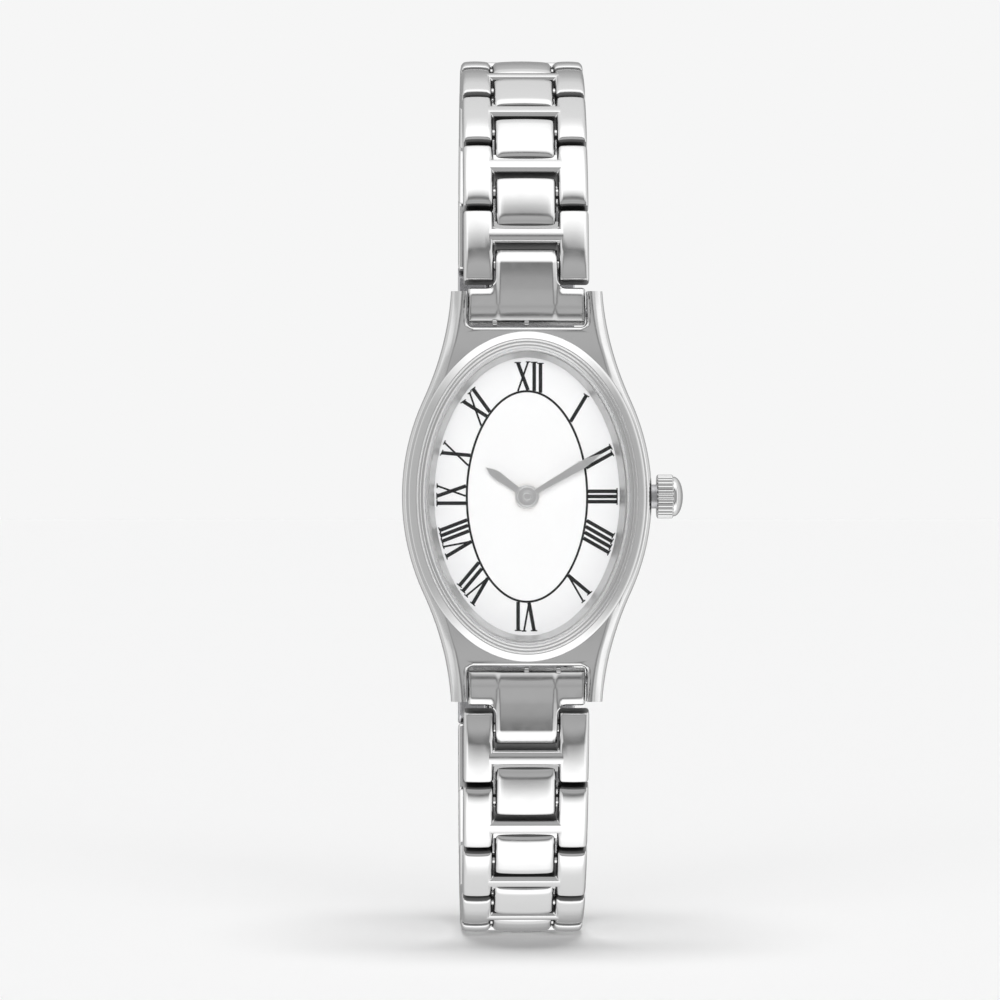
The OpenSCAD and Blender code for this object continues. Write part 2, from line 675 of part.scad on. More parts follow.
// The crossbar between the ears, with a low neck that carries the tongue
neck = 0.3;
module crossbar() {
    z0 = bridge_start;
    z1 = bridge_start + bridge_len;
    h = half_t;
    across(2 * ear_in + 0.6) polygon([[-h + 0.25, z0], [-h + 0.06, z0 + 0.2],
        [-h + 0.06, z1 - 0.1], [-h + 0.2, z1], [-h + neck, z1], [-h + neck, z1 + 0.5],
        [h - 0.12, z1 + 0.5], [h - 0.12, z0]]);
}
module link_pin() {
    bar_x(pin_d / 2, -link_w / 2 + 0.25, link_w / 2 - 0.25);
}
module h_link() {
    difference() {
        union() {
            ears(ear_far);
            crossbar();
            tongue(bridge_start + bridge_len + 0.12, pitch);
        }
        bar_x(pin_d / 2 + press, -link_w, link_w);
        bar_x(pin_d / 2 + run, -link_w, link_w, [0, pitch]);
    }
    link_pin();
}
module upper_link(i) {
    color(steel) at_pivot(i - 1, tilt(i)) h_link();
}
module lower_link(i) {
    color(steel) lower() at_pivot(i - 1, tilt(i)) h_link();
}

// The end link fills the lug gap, and its tongue stands out between the first link's ears
end_gap_side = 0.1;
body_gap = 0.15;
function end_profile() = let (h = half_t, b = bevel, r = bar_room - body_gap,
        far = end_pitch - ear_reach - end_room)
    concat([for (a = [-78 : 16 : 50]) [-r * sin(a), -r * cos(a)]],
        [[-h + 0.16, -0.6], [-h, -0.42], [-h, far - b], [-h + b, far], [h - b, far],
         [h, far - b], [h, 0.2]]);
module end_link() {
    w = lug_gap / 2 - end_gap_side;
    difference() {
        union() {
            intersection() {
                across(2 * w) polygon(end_profile());
                translate([0, 0, -3]) linear_extrude(end_pitch + 3) bar_section(-w, w, half_t);
            }
            across(tongue_w) polygon([[-half_t + neck, 1], [half_t - 0.1, 1],
                [half_t - 0.1, end_pitch], [-half_t + neck, end_pitch]]);
            tongue(end_pitch - ear_reach - end_room + 0.02, end_pitch);
        }
        bar_x(spring_bar_r + run, -link_w, link_w);
        bar_x(pin_d / 2 + run, -link_w, link_w, [0, end_pitch]);
    }
}
module upper_end_link() {
    color(steel) at_bar() end_link();
}
module lower_end_link() {
    color(steel) lower() at_bar() end_link();
}

// A plate that follows the clasp's arc: heights v0 to v1, arc lengths c0 to c1
module arc_plate(v0, v1, x0, x1, c0, c1) {
    translate([0, clasp_y, 0]) rotate([0, 90, 0]) rotate([0, 0, 90 + clasp_angle(c0)])
        rotate_extrude(angle = clasp_angle(c1 - c0), $fn = arc_fn)
            polygon([[clasp_r + v0, x0], [clasp_r + v1, x0], [clasp_r + v1, x1],
                [clasp_r + v0, x1]]);
}
module both_sides() {
    children();
    mirror([1, 0, 0]) children();
}
// The ears that hold the last link's tongue; the same pair ends the cover below
clasp_far = 2.1;
module clasp_ears() {
    at_pivot(links, 180 - clasp_half) difference() {
        ears(clasp_far);
        bar_x(pin_d / 2 + press, -link_w, link_w);
    }
}
// Hinge heights above the clasp's inner face, and knuckle widths
low_v = inner_t + 0.08;
middle_v = inner_t + 0.15;
high_v = middle_v + middle_t + 0.1;
skin_v = high_v + knuckle_d / 2 + 0.06;
knuckle_x = 1.4;
knuckle_gap = 0.1;
free = knuckle_d / 2 + 0.15;
// How far a knuckle's strip runs on into its blade
root = 0.1;
tip_clear = 0.12;
// How far a hinge pin's end lies inside the outer side
pin_inset = 0.1;
// A knuckle's strip is a little thinner than the blade that it joins
shy = 0.02;
module clasp_inner_blade() {
    low = on_clasp(-hinge_c, low_v);
    w = link_w / 2 - 0.05;
    color(brushed) difference() {
        union() {
            arc_plate(0, inner_t, -w, w, -hinge_c + free, pin_c - tongue_reach - tip_clear);
            arc_plate(shy, inner_t - shy, -knuckle_x, knuckle_x, -hinge_c,
                -hinge_c + free + root);
            bar_x(knuckle_d / 2, -knuckle_x, knuckle_x, low);
            clasp_ears();
        }
        bar_x(hinge_pin_d / 2 + press, -link_w, link_w, low);
    }
}
// The middle blade's window lets the last lower tongue through when the clasp is closed
window_x = tongue_w / 2 + 0.2;
window_end = 1.2;
window_c = hinge_c - free - window_end;
module clasp_middle_blade() {
    low = on_clasp(-hinge_c, low_v);
    high = on_clasp(hinge_c, high_v);
    w = middle_w / 2;
    v = middle_v;
    color(brushed) difference() {
        union() {
            arc_plate(v, v + middle_t, -w, w, -hinge_c + free, hinge_c - free);
            both_sides() {
                arc_plate(v + shy, v + middle_t - shy, knuckle_x + knuckle_gap, w - shy,
                    -hinge_c, -hinge_c + free + root);
                bar_x(knuckle_d / 2, knuckle_x + knuckle_gap, w, low);
            }
            arc_plate(v + shy, v + middle_t - shy, -knuckle_x, knuckle_x,
                hinge_c - free - root, hinge_c);
            bar_x(knuckle_d / 2 - 0.03, -knuckle_x, knuckle_x, high);
        }
        arc_plate(v - middle_t, v + 2 * middle_t, -window_x, window_x, -window_c, window_c);
        bar_x(hinge_pin_d / 2 + run, -link_w, link_w, low);
        bar_x(hinge_pin_d / 2 + run, -link_w, link_w, high);
    }
}
wall_v = inner_t + 0.1;
module clasp_cover() {
    high = on_clasp(hinge_c, high_v);
    w = link_w / 2;
    c0 = -pin_c + tongue_reach + tip_clear;
    c1 = hinge_c + knuckle_d / 2 + 0.35;
    color(steel) difference() {
        union() {
            arc_plate(skin_v, skin_v + cover_t, -w, w, c0, c1);
            both_sides() {
                arc_plate(wall_v, skin_v + 0.1, w - cover_t, w, c0, c1);
                bar_x(knuckle_d / 2 - 0.03, knuckle_x + knuckle_gap, w - 0.1, high);
                arc_plate(high_v, skin_v + 0.1, knuckle_x + knuckle_gap, w - 0.1,
                    hinge_c - 0.5, hinge_c + 0.5);
            }
            lower() clasp_ears();
        }
        bar_x(hinge_pin_d / 2 + press, -link_w, link_w, high);
    }
}
module clasp_lower_hinge_pin() {
    color(brushed) bar_x(hinge_pin_d / 2, -middle_w / 2 + pin_inset, middle_w / 2 - pin_inset,
        on_clasp(-hinge_c, low_v));
}
module clasp_upper_hinge_pin() {
    color(brushed) bar_x(hinge_pin_d / 2, -link_w / 2 + pin_inset, link_w / 2 - pin_inset,
        on_clasp(hinge_c, high_v));
}
module clasp_end_pin() {
    color(brushed) at_pivot(links, 180 - clasp_half) link_pin();
}
// The spring bar in the last lower tongue; it ends inside the gap to the cover's ears
module clasp_spring_bar() {
    color(brushed) lower() at_pivot(links, 0)
        bar_x(pin_d / 2 + run - press, -ear_in + 0.04, ear_in - 0.04);
}

case_middle();
bezel();
crystal();
crystal_gasket();
dial_flange();
dial();
case_back();
back_gasket();
movement_ring();
main_plate();
train_bridge();
battery();
battery_clamp();
circuit_board();
motor_coil();
stator();
rotor();
intermediate_wheel();
centre_wheel();
minute_wheel();
hour_wheel();
minute_hand();
hour_hand();
winding_crown();
crown_stem();
crown_tube();
crown_gasket();
setting_lever();
upper_spring_bar();
lower_spring_bar();
upper_end_link();
lower_end_link();
upper_link(1);  // upper_link_1
upper_link(2);  // upper_link_2
upper_link(3);  // upper_link_3
upper_link(4);  // upper_link_4
upper_link(5);  // upper_link_5
upper_link(6);  // upper_link_6
upper_link(7);  // upper_link_7
upper_link(8);  // upper_link_8
upper_link(9);  // upper_link_9
lower_link(1);  // lower_link_1
lower_link(2);  // lower_link_2
lower_link(3);  // lower_link_3
lower_link(4);  // lower_link_4
lower_link(5);  // lower_link_5
lower_link(6);  // lower_link_6
lower_link(7);  // lower_link_7
lower_link(8);  // lower_link_8
lower_link(9);  // lower_link_9
clasp_inner_blade();
clasp_middle_blade();
clasp_cover();
clasp_lower_hinge_pin();
clasp_upper_hinge_pin();
clasp_end_pin();
clasp_spring_bar();
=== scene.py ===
# %% [markdown]
# # A small wristwatch on its steel bracelet
# The watch stands on edge: a tonneau case with an oval bezel, in a closed loop of H-shaped links.
# The CAD model says where every piece is, and it is loaded first. Blender then gives each piece
# that shows its real form and finish, in the same place. Nothing in the CAD model is moved.

from math import asin, atan2, cos, degrees, hypot, pi, radians, sin, sqrt

import bmesh
import bpy
from mathutils import Matrix, Vector


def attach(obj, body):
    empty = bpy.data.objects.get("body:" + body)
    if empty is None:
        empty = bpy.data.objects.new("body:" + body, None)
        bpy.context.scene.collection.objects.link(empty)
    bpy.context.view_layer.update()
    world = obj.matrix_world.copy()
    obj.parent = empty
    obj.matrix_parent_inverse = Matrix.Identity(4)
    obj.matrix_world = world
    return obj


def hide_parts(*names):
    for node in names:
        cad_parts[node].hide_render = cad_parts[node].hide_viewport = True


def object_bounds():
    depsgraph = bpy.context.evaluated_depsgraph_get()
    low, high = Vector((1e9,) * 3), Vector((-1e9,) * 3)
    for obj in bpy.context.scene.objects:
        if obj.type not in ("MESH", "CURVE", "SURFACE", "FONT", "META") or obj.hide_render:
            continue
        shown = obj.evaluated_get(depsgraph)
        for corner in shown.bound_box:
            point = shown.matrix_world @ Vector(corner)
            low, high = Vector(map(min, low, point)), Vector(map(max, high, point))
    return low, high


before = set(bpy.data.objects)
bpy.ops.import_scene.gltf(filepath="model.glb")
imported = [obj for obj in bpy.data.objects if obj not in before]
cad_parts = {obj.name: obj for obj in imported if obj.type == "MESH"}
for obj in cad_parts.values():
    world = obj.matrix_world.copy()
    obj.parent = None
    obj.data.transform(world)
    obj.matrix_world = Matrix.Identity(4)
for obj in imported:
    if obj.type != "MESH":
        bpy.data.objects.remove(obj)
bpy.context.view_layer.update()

# %% [markdown]
# The sizes are the CAD model's own, in millimetres. The bracelet hangs in a vertical plane, so
# each of its pivots is a [y, z] pair, and each link tilts a little more than the one before. The
# clasp is an arc through the last pivots of both halves.

# %% Sizes of the bracelet
LINKS = 9
LINK_W, LINK_T, PITCH = 10.5, 2.4, 6.6
TONGUE_W, SIDE_GAP, TONGUE_ROOM = 5.2, 0.12, 0.06
EAR_REACH, TONGUE_REACH, END_GAP, EAR_ROOM = 1.6, 1.33, 0.2, 0.04
BRIDGE_START, BRIDGE_LEN = 1.72, 1.4
PIN_D = 0.9
END_TILT, END_PITCH = 14, 4.1
FIRST_TILT, BEND, BEND_GROWTH = 22.3, 15.8, 0.62
CASE_L, BAR_INSET, BAR_H = 34.2, 1.75, 1.8
CLASP_R, CLASP_GAP = 84, 0.1
HALF_T = LINK_T / 2
BRIDGE_END = BRIDGE_START + BRIDGE_LEN
EAR_IN = TONGUE_W / 2 + SIDE_GAP
EAR_FAR = PITCH - EAR_REACH - END_GAP - EAR_ROOM
BAR_Z = CASE_L / 2 - BAR_INSET


def tilt(i):
    """How far link i leans back from the plane of the lugs, in degrees. Link 0 is the end link."""
    if i == 0:
        return END_TILT
    return FIRST_TILT + (i - 1) * BEND + BEND_GROWTH * (i - 1) * (i - 2) / 2


def from_bar(i):
    """The pivot beyond link i, measured from the spring bar."""
    y = z = 0
    for k in range(i + 1):
        step = END_PITCH if k == 0 else PITCH
        y += step * sin(radians(tilt(k)))
        z += step * cos(radians(tilt(k)))
    return y, z


last_y, last_z = from_bar(LINKS)
clasp_v = HALF_T + CLASP_GAP
pivot_r = CLASP_R + clasp_v
clasp_half = degrees(asin((BAR_Z + last_z) / pivot_r))
clasp_rise = pivot_r * (1 - cos(radians(clasp_half)))
opening = last_y - BAR_H + clasp_rise - clasp_v
BACK_Y = -opening / 2
BAR_Y = BACK_Y - BAR_H
CLASP_Y = BACK_Y + opening - CLASP_R
pin_c = pivot_r * radians(clasp_half)
print(f"wrist opening {opening:.1f} mm, half the clasp's arc {clasp_half:.1f} degrees")

# %% [markdown]
# Blender's operators suit sizes of some units, so small pieces are modelled at one unit to the
# millimetre. Each is made where it is easy to describe, such as a link about its own pin, and one
# matrix then carries it to its place. The lower half of the bracelet is the upper half turned
# over about the Y axis, so nothing has to be mirrored.

# %% Places of the links and of the watch head
MM = 0.001


def turn(angle, axis):
    return Matrix.Rotation(radians(angle), 4, axis)


def link_place(i, half):
    """The matrix of link i, or of the end link for i = 0. Its own +Z runs along the bracelet."""
    y, z = (0, 0) if i == 0 else from_bar(i - 1)
    there = Matrix.Translation((0, BAR_Y + y, BAR_Z + z)) @ turn(-tilt(i), "X")
    return there if half == "upper" else turn(180, "Y") @ there


HEAD = Matrix.Translation((0, BACK_Y, 0)) @ turn(90, "X")
print("the spring bars are at y", round(BAR_Y, 2), "and z", round(BAR_Z, 2))

# %% [markdown]
# These helpers do what a modeller does by hand: add a primitive with nothing else selected, go in
# and out of edit mode, and pick points, edges or faces by where they are.

# %% Begin a piece and pick its parts
STRAIGHT = 0.999


def to_mode(mode):
    if bpy.context.object and bpy.context.object.mode != mode:
        bpy.ops.object.mode_set(mode=mode)


def choose(*pieces):
    """Selects these pieces alone, in object mode. The first is then the one in work."""
    to_mode("OBJECT")
    bpy.ops.object.select_all(action="DESELECT")
    for piece in pieces:
        piece.select_set(True)
        bpy.context.view_layer.objects.active = pieces[0]


def open_up(piece):
    choose(piece)
    to_mode("EDIT")


def begin(kind, name, **how):
    """Adds a primitive, applies its size and place, and opens it in edit mode."""
    choose()
    getattr(bpy.ops.mesh, f"primitive_{kind}_add")(**how)
    piece = bpy.context.object
    piece.name = piece.data.name = name
    bpy.ops.object.transform_apply(location=True, rotation=True, scale=True)
    to_mode("EDIT")
    return piece


def block(name, low, high):
    """A box between two corners, open in edit mode."""
    middle = [(a + b) / 2 for a, b in zip(low, high)]
    return begin("cube", name, size=1, location=middle, scale=[b - a for a, b in zip(low, high)])


def pick(kind, test):
    """Selects the points, edges or faces that pass a test, and says how many they are."""
    bpy.ops.mesh.select_mode(type=kind)
    bpy.ops.mesh.select_all(action="DESELECT")
    mesh = bmesh.from_edit_mesh(bpy.context.object.data)
    elements = {"VERT": mesh.verts, "EDGE": mesh.edges, "FACE": mesh.faces}[kind]
    found = [e for e in elements if test(e)]
    for e in found:
        e.select_set(True)
    mesh.select_flush_mode()
    bmesh.update_edit_mesh(bpy.context.object.data)
    return len(found)


def along_axis(edge, axis):
    a, b = (v.co for v in edge.verts)
    return abs((b - a).normalized()[axis]) > STRAIGHT


def middle_of(edge):
    return (edge.verts[0].co + edge.verts[1].co) / 2


# %% [markdown]
# A box gets a curved form when rows are cut across it and each row is moved or stretched by what
# a formula says. `sag` and `past` are the two curves used most. Modifiers are applied at once.

# %% Shape, cut and join pieces
ROW = 0.004


def sag(distance, radius):
    """How far a circle lies below its crest at a distance from it."""
    return radius - sqrt(max(0.0, radius * radius - distance * distance))


def past(place, start, end):
    """0 up to the start, 1 at the end and even between them."""
    return max(0.0, place - start) / (end - start)


def cut_rows(axis, cuts):
    """Cuts rows across an axis, by subdividing all the edges that run along it."""
    pick("EDGE", lambda e: along_axis(e, axis))
    bpy.ops.mesh.subdivide(number_cuts=cuts)


def rows(axis):
    """The places along an axis where there are points, each row once."""
    mesh = bmesh.from_edit_mesh(bpy.context.object.data)
    found = []
    for place in sorted(v.co[axis] for v in mesh.verts):
        if not found or place - found[-1] > ROW:
            found.append(place)
    return found


def pick_row(axis, place, which=lambda co: True):
    return pick("VERT", lambda v: -ROW / 4 < v.co[axis] - place < ROW and which(v.co))


def shape_rows(axis, change, which=lambda co: True):
    """Moves each row of points across an axis by the step that change() gives for its place."""
    for place in rows(axis):
        if pick_row(axis, place, which):
            bpy.ops.transform.translate(value=change(place))


def stretch_rows(axis, factors, centre=(0, 0, 0)):
    for place in rows(axis):
        pick_row(axis, place)
        bpy.ops.transform.resize(value=factors(place), center_override=centre)


def slice_at(axis, places):
    """Cuts right through the piece in work at each place along an axis."""
    way = [float(k == axis) for k in range(3)]
    for place in places:
        bpy.ops.mesh.select_all(action="SELECT")
        bpy.ops.mesh.bisect(plane_co=[place * w for w in way], plane_no=way)


def bevel(width, segments, profile=0.5):
    bpy.ops.mesh.bevel(offset=width, segments=segments, profile=profile, affect="EDGES")


def bevel_sharp(width, segments, angle=38):
    bpy.ops.mesh.select_mode(type="EDGE")
    bpy.ops.mesh.select_all(action="DESELECT")
    bpy.ops.mesh.edges_select_sharp(sharpness=radians(angle))
    bevel(width, segments)


def step_in(width, rise):
    """Insets the selected face by a width and lifts it, so that a wall of even width follows."""
    bpy.ops.mesh.inset(thickness=width, depth=rise, use_even_offset=True)


def modify(piece, kind, **settings):
    choose(piece)
    change = piece.modifiers.new(kind.title(), kind)
    for key, value in settings.items():
        setattr(change, key, value)
    bpy.ops.object.modifier_apply(modifier=change.name)


def combine(target, tool, operation="DIFFERENCE"):
    """Cuts one piece out of another, or joins the two, with a Boolean."""
    modify(target, "BOOLEAN", operation=operation, object=tool, solver="EXACT")
    bpy.data.objects.remove(tool)


def union_of(name, boxes):
    """Several boxes as one closed block without inner walls, open in edit mode."""
    whole = block(name, *boxes[0])
    for low, high in boxes[1:]:
        combine(whole, block("more", low, high), "UNION")
    open_up(whole)
    bpy.ops.mesh.select_all(action="SELECT")
    bpy.ops.mesh.dissolve_limited(angle_limit=radians(1))
    return whole


def joined(name, pieces):
    choose(*pieces)
    bpy.ops.object.join()
    pieces[0].name = pieces[0].data.name = name
    return pieces[0]


# %% [markdown]
# A finished piece is closed, its faces point outwards, and its shading is smooth except over real
# edges. Weighted normals keep the broad faces calm and leave the turn of light to the bevels.
# The piece is then carried to its place and shrunk to metres.

# %% Finish a piece
SAME_POINT = 0.0004


def outwards(piece):
    """Merges points that coincide and makes every shell's faces point outwards."""
    open_up(piece)
    bpy.ops.mesh.select_all(action="SELECT")
    bpy.ops.mesh.remove_doubles(threshold=SAME_POINT)
    bpy.ops.mesh.normals_make_consistent(inside=False)
    to_mode("OBJECT")


def smooth(piece, angle):
    choose(piece)
    bpy.ops.object.shade_smooth_by_angle(angle=radians(angle))
    modify(piece, "WEIGHTED_NORMAL", keep_sharp=True)


def dress(piece, material, second=None, test=None):
    """Gives a piece its material, and a second one to the faces that pass the test."""
    piece.data.materials.clear()
    piece.data.materials.append(material)
    if second:
        piece.data.materials.append(second)
        for face in piece.data.polygons:
            face.material_index = int(test(face.center, face.normal))


def seat(piece, place, body, nodes):
    """Carries a piece to its place in metres, and lets it stand for its CAD nodes."""
    piece.data.transform(Matrix.Scale(MM, 4) @ place)
    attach(piece, body)
    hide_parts(*nodes)


def complete(piece, angle, material, node, place=HEAD, body="head"):
    """All four steps, for a piece of one material that stands for one node."""
    outwards(piece)
    smooth(piece, angle)
    dress(piece, material)
    seat(piece, place, body, [node])


# %% [markdown]
# Every finish is built from nodes. Where one node feeds another, the helpers pass a pair of the
# node and its output.

# %% Material helpers
NOISE_LOW, NOISE_HIGH = 0.3, 0.7


def colour(code):
    """A hex colour as linear values, by the sRGB curve."""
    parts = [int(code[k : k + 2], 16) / 255 for k in (1, 3, 5)]
    return (*(c / 12.92 if c < 0.04045 else ((c + 0.055) / 1.055) ** 2.4 for c in parts), 1)


def feed(tree, source, socket):
    """Links a (node, output) pair to an input."""
    tree.links.new(source[0].outputs[source[1]], socket)


def add(tree, kind, settings=None, **inputs):
    """Adds a node. An input is a value, or a (node, output) pair that is linked to it."""
    made = tree.nodes.new(kind)
    for key, value in (settings or {}).items():
        setattr(made, key, value)
    for key, value in inputs.items():
        socket = made.inputs[int(key[1:]) if key[0] == "_" else key.replace("_", " ")]
        if isinstance(value, tuple) and isinstance(value[0], bpy.types.Node):
            feed(tree, value, socket)
        else:
            socket.default_value = value
    return made


def maths(tree, operation, *values):
    inputs = {f"_{k}": value for k, value in enumerate(values)}
    return add(tree, "ShaderNodeMath", {"operation": operation}, **inputs), "Value"


def mixed_by(tree, factor, first, second):
    mix = add(tree, "ShaderNodeMix", {"data_type": "RGBA"}, _0=factor, _6=first, _7=second)
    return mix, 2


def finish(name, **values):
    """A new material and its shader, on which the even values are set."""
    material = bpy.data.materials.new(name)
    material.use_nodes = True
    tree = material.node_tree
    tree.nodes.clear()
    shader = add(tree, "ShaderNodeBsdfPrincipled", **values)
    add(tree, "ShaderNodeOutputMaterial", Surface=(shader, "BSDF"))
    return material, tree, shader


def spots(tree, size_mm, stretch=(1, 1, 1)):
    """Noise whose spots measure size_mm, on the piece's own coordinates."""
    where = add(tree, "ShaderNodeTexCoord")
    laid = add(tree, "ShaderNodeMapping", Vector=(where, "Object"), Scale=stretch)
    scale = 1 / (size_mm * MM)
    return add(tree, "ShaderNodeTexNoise", Vector=(laid, "Vector"), Scale=scale, Detail=3), "Fac"


def between(tree, source, low, high):
    """Maps the noise's middle range to a pair of values."""
    made = add(tree, "ShaderNodeMapRange", _0=source, _1=NOISE_LOW, _2=NOISE_HIGH, _3=low, _4=high)
    return made, "Result"


def relief(tree, shader, source, height_mm, strength):
    height = height_mm * MM
    bump = add(tree, "ShaderNodeBump", Strength=strength, Distance=height, Height=source)
    feed(tree, (bump, "Normal"), shader.inputs["Normal"])


# %% [markdown]
# Polished stainless steel: turned or pressed, then buffed on a wheel. It mirrors its surroundings
# a little softly. Buffing leaves faint waves some half a millimetre wide, and wear leaves fine
# haze.

# %% Polished steel
HAZE_MM, WAVE_MM, WAVE_HEIGHT = 0.9, 0.5, 0.0012


def polished(name, tint, rough):
    material, tree, shader = finish(name, Base_Color=colour(tint), Metallic=1.0)
    haze = between(tree, spots(tree, HAZE_MM), rough - 0.03, rough + 0.04)
    feed(tree, haze, shader.inputs["Roughness"])
    relief(tree, shader, spots(tree, WAVE_MM), WAVE_HEIGHT, 0.5)
    return material


case_steel = polished("buffed stainless steel of the case", "#DADADA", 0.13)
bezel_steel = polished("mirror-polished stainless steel of the bezel", "#DEDEDE", 0.08)
link_steel = polished("tumbled stainless steel of the links", "#DADADA", 0.14)
# The joints' steel is rough where no wheel reaches, and its dark grey is painted shade between the
# links.
shaded_joint_steel = polished("unpolished steel inside the joints", "#787878", 0.42)
crown_steel = polished("turned stainless steel of the crown", "#D8D8D8", 0.12)
print("steels:", len(bpy.data.materials))

# %% [markdown]
# Satin steel is drawn over a fine abrasive belt. The grit leaves lines along the piece, about
# 0.06 mm apart, which stretch every highlight across them. The noise is squeezed along the lines'
# length. Small parts are tumbled instead, so their grain is the same in all directions.

# %% Satin steel and other metals of the inside
LINES_RUN, EVEN = (1, 1, 0.03), (1, 1, 1)
LINE_DEPTH = 0.004


def satin(name, tint, rough, grain_mm, run=EVEN):
    material, tree, shader = finish(name, Base_Color=colour(tint), Metallic=1.0)
    grain = spots(tree, grain_mm, run)
    feed(tree, between(tree, grain, rough - 0.08, rough + 0.1), shader.inputs["Roughness"])
    relief(tree, shader, grain, LINE_DEPTH, 0.6)
    return material


clasp_steel = satin("belt-brushed stainless steel of the clasp", "#C9C9CB", 0.3, 0.06, LINES_RUN)
part_steel = satin("tumbled satin steel of the small parts", "#C2C2C4", 0.36, 0.15)
cell_steel = satin("drawn nickel-plated steel of the cell", "#CFCFCB", 0.28, 0.1)
gilt_brass = satin("stamped gilt brass of the plate", "#D8B368", 0.33, 0.12)
wheel_brass = satin("milled gilt brass of the wheels", "#DDB765", 0.3, 0.1)
hand_metal = satin("satin nickel of the hands", "#EDEDED", 0.42, 0.05)
flange_metal = satin("matt plated brass of the flange", "#DCDCDC", 0.5, 0.08)
print("metals:", len(bpy.data.materials))

# %% [markdown]
# The rest of the inside: enamelled copper wire, a solder-masked board, moulded acetal and rubber.
# They are hidden by the case, but each still gets the grain of what it is made of. The dial's
# raised ink is made the same way.

# %% Plastics, rubber, wire and ink


def moulded(name, tint, shade, rough, grain_mm, height_mm=0.004):
    material, tree, shader = finish(name, Roughness=rough)
    grain = spots(tree, grain_mm)
    mix = mixed_by(tree, grain, colour(tint), colour(shade))
    feed(tree, mix, shader.inputs["Base Color"])
    relief(tree, shader, grain, height_mm, 0.5)
    return material


rubber = moulded("moulded nitrile rubber", "#1C1C1C", "#262626", 0.6, 0.2)
clear_nylon = moulded("moulded nylon of the crystal gasket", "#B9BABC", "#C4C5C7", 0.4, 0.3)
acetal = moulded("moulded acetal of the ring", "#E2DFD2", "#D8D4C6", 0.45, 0.4)
board = moulded("solder mask of the board", "#1F5A33", "#256B3D", 0.35, 0.5)
wire = moulded("enamelled copper wire", "#9A4E22", "#7C3B17", 0.3, 0.05)
ink = moulded("pad-printed black ink", "#060606", "#0A0A0A", 0.6, 0.08, 0.002)
print("materials:", len(bpy.data.materials))

# %% [markdown]
# The dial is lacquered brass: white in the middle, and a little greyer towards the edge. The grey
# is partly the silvery ground under the lacquer and partly painted shade where the flange and
# bezel overhang the recessed edge. The grey follows the oval: the point's place is divided by the
# oval's half sizes, and its length is 1 on the dial's edge.

# %% The dial's lacquer
DIAL_HALF = (7.72, 11.57)
# The outer stop's grey is partly the silvered ground and partly painted shade at the recessed
# edge.
SILVER_AND_SHADE_STOPS = ((0.7, "#FEFEFE"), (1.0, "#F6F6F7"))
coat = {"Coat_Weight": 0.3, "Coat_Roughness": 0.08}
lacquer, tree, shader = finish("white lacquer over silvered brass", Roughness=0.34, **coat)
where = add(tree, "ShaderNodeTexCoord")
scale = (1 / (DIAL_HALF[0] * MM), 0, 1 / (DIAL_HALF[1] * MM))
laid = add(tree, "ShaderNodeMapping", Vector=(where, "Object"), Scale=scale)
reach = add(tree, "ShaderNodeVectorMath", {"operation": "LENGTH"}, _0=(laid, "Vector"))
ramp = add(tree, "ShaderNodeValToRGB", Fac=(reach, "Value"))
for stop, (place, code) in zip(ramp.color_ramp.elements, SILVER_AND_SHADE_STOPS):
    stop.position, stop.color = place, colour(code)
feed(tree, (ramp, "Color"), shader.inputs["Base Color"])
relief(tree, shader, spots(tree, 0.4), 0.0006, 0.3)
print("the dial's shades:", SILVER_AND_SHADE_STOPS)

# %% [markdown]
# The crystal is a clear pane that hides nothing. Most of its surface lets light straight through,
# so alpha does the work, and the small rest is glossy and takes the reflections. Its ground edge
# is milky.

# %% The crystal's glass
SAPPHIRE_IOR = 1.77


def glass(name, tint, rough, alpha, wave_mm, height_mm, strength):
    material, tree, shader = finish(
        name, Base_Color=colour(tint), Roughness=rough, IOR=SAPPHIRE_IOR, Alpha=alpha)
    relief(tree, shader, spots(tree, wave_mm), height_mm, strength)
    material.surface_render_method = "BLENDED"
    return material


crystal_glass = glass("lapped sapphire crystal", "#8A8C8E", 0.02, 0.03, 2.0, 0.0004, 0.2)
ground_glass = glass("ground edge of the crystal", "#E8E8E8", 0.25, 0.45, 0.1, 0.001, 0.4)
print("materials:", len(bpy.data.materials))

# %% [markdown]
# A link is shaped like an H. Two ears hold the pin of the link before, and a crossbar joins them.
# They are forged as one form, so three boxes are united, every edge is rounded, and the block is
# sliced into rows. Each row of the outer face is then lowered by what a circle gives, once along
# the bracelet and once across each ear. That makes the pillows that catch the light. The corner
# that turns beside its neighbour is rounded about the pin, whose ends show in shallow holes.

# %% The ears and the crossbar
EAR_MID = (EAR_IN + LINK_W / 2) / 2
EAR_HALF = (LINK_W / 2 - EAR_IN) / 2
LINK_MIDDLE = (PITCH + TONGUE_REACH - EAR_REACH) / 2
EAR_R, DOME_R, ARCH_R = 9.0, 22, 60
EDGE_FALL, EDGE_START = 0.12, 0.75
END_FALL, END_START = 0.2, 0.4
ROUNDING, TURN_ROUNDING = 0.3, 0.95
TURN_ROWS = [-1.35, -1.1, -0.85, -0.5]
EAR_ROWS = [*TURN_ROWS, -0.2, 0.1, 0.4, 0.8, 1.2, 2.4, 3.6, 4.2, EAR_FAR - 0.35]
EAR_COLUMNS = (-0.85, -0.45, 0, 0.45, 0.85)
EAR_SKIN, FALLEN = 0.45, 0.5
NEAR = 0.01
SIDEWAYS = (0, pi / 2, 0)


def across_ear(x):
    """How far the outer face lies below an ear's crest. The crossbar is level with its edge."""
    off = min(EAR_HALF, abs(abs(x) - EAR_MID))
    return sag(off, EAR_R) + EDGE_FALL * past(off, EDGE_START, EAR_HALF) ** 2


def arch(z):
    """The gentle arch of a whole link, from its ears to the tip of its tongue."""
    return sag(z - LINK_MIDDLE, ARCH_R)


def along_ear(z, far):
    """The same along the ear: a long dome, and a quick fall at the end that turns."""
    dome = sag(z - (far - EAR_REACH) / 2, DOME_R)
    return dome + END_FALL * past(-z, -END_START, EAR_REACH) ** 3 + arch(z)


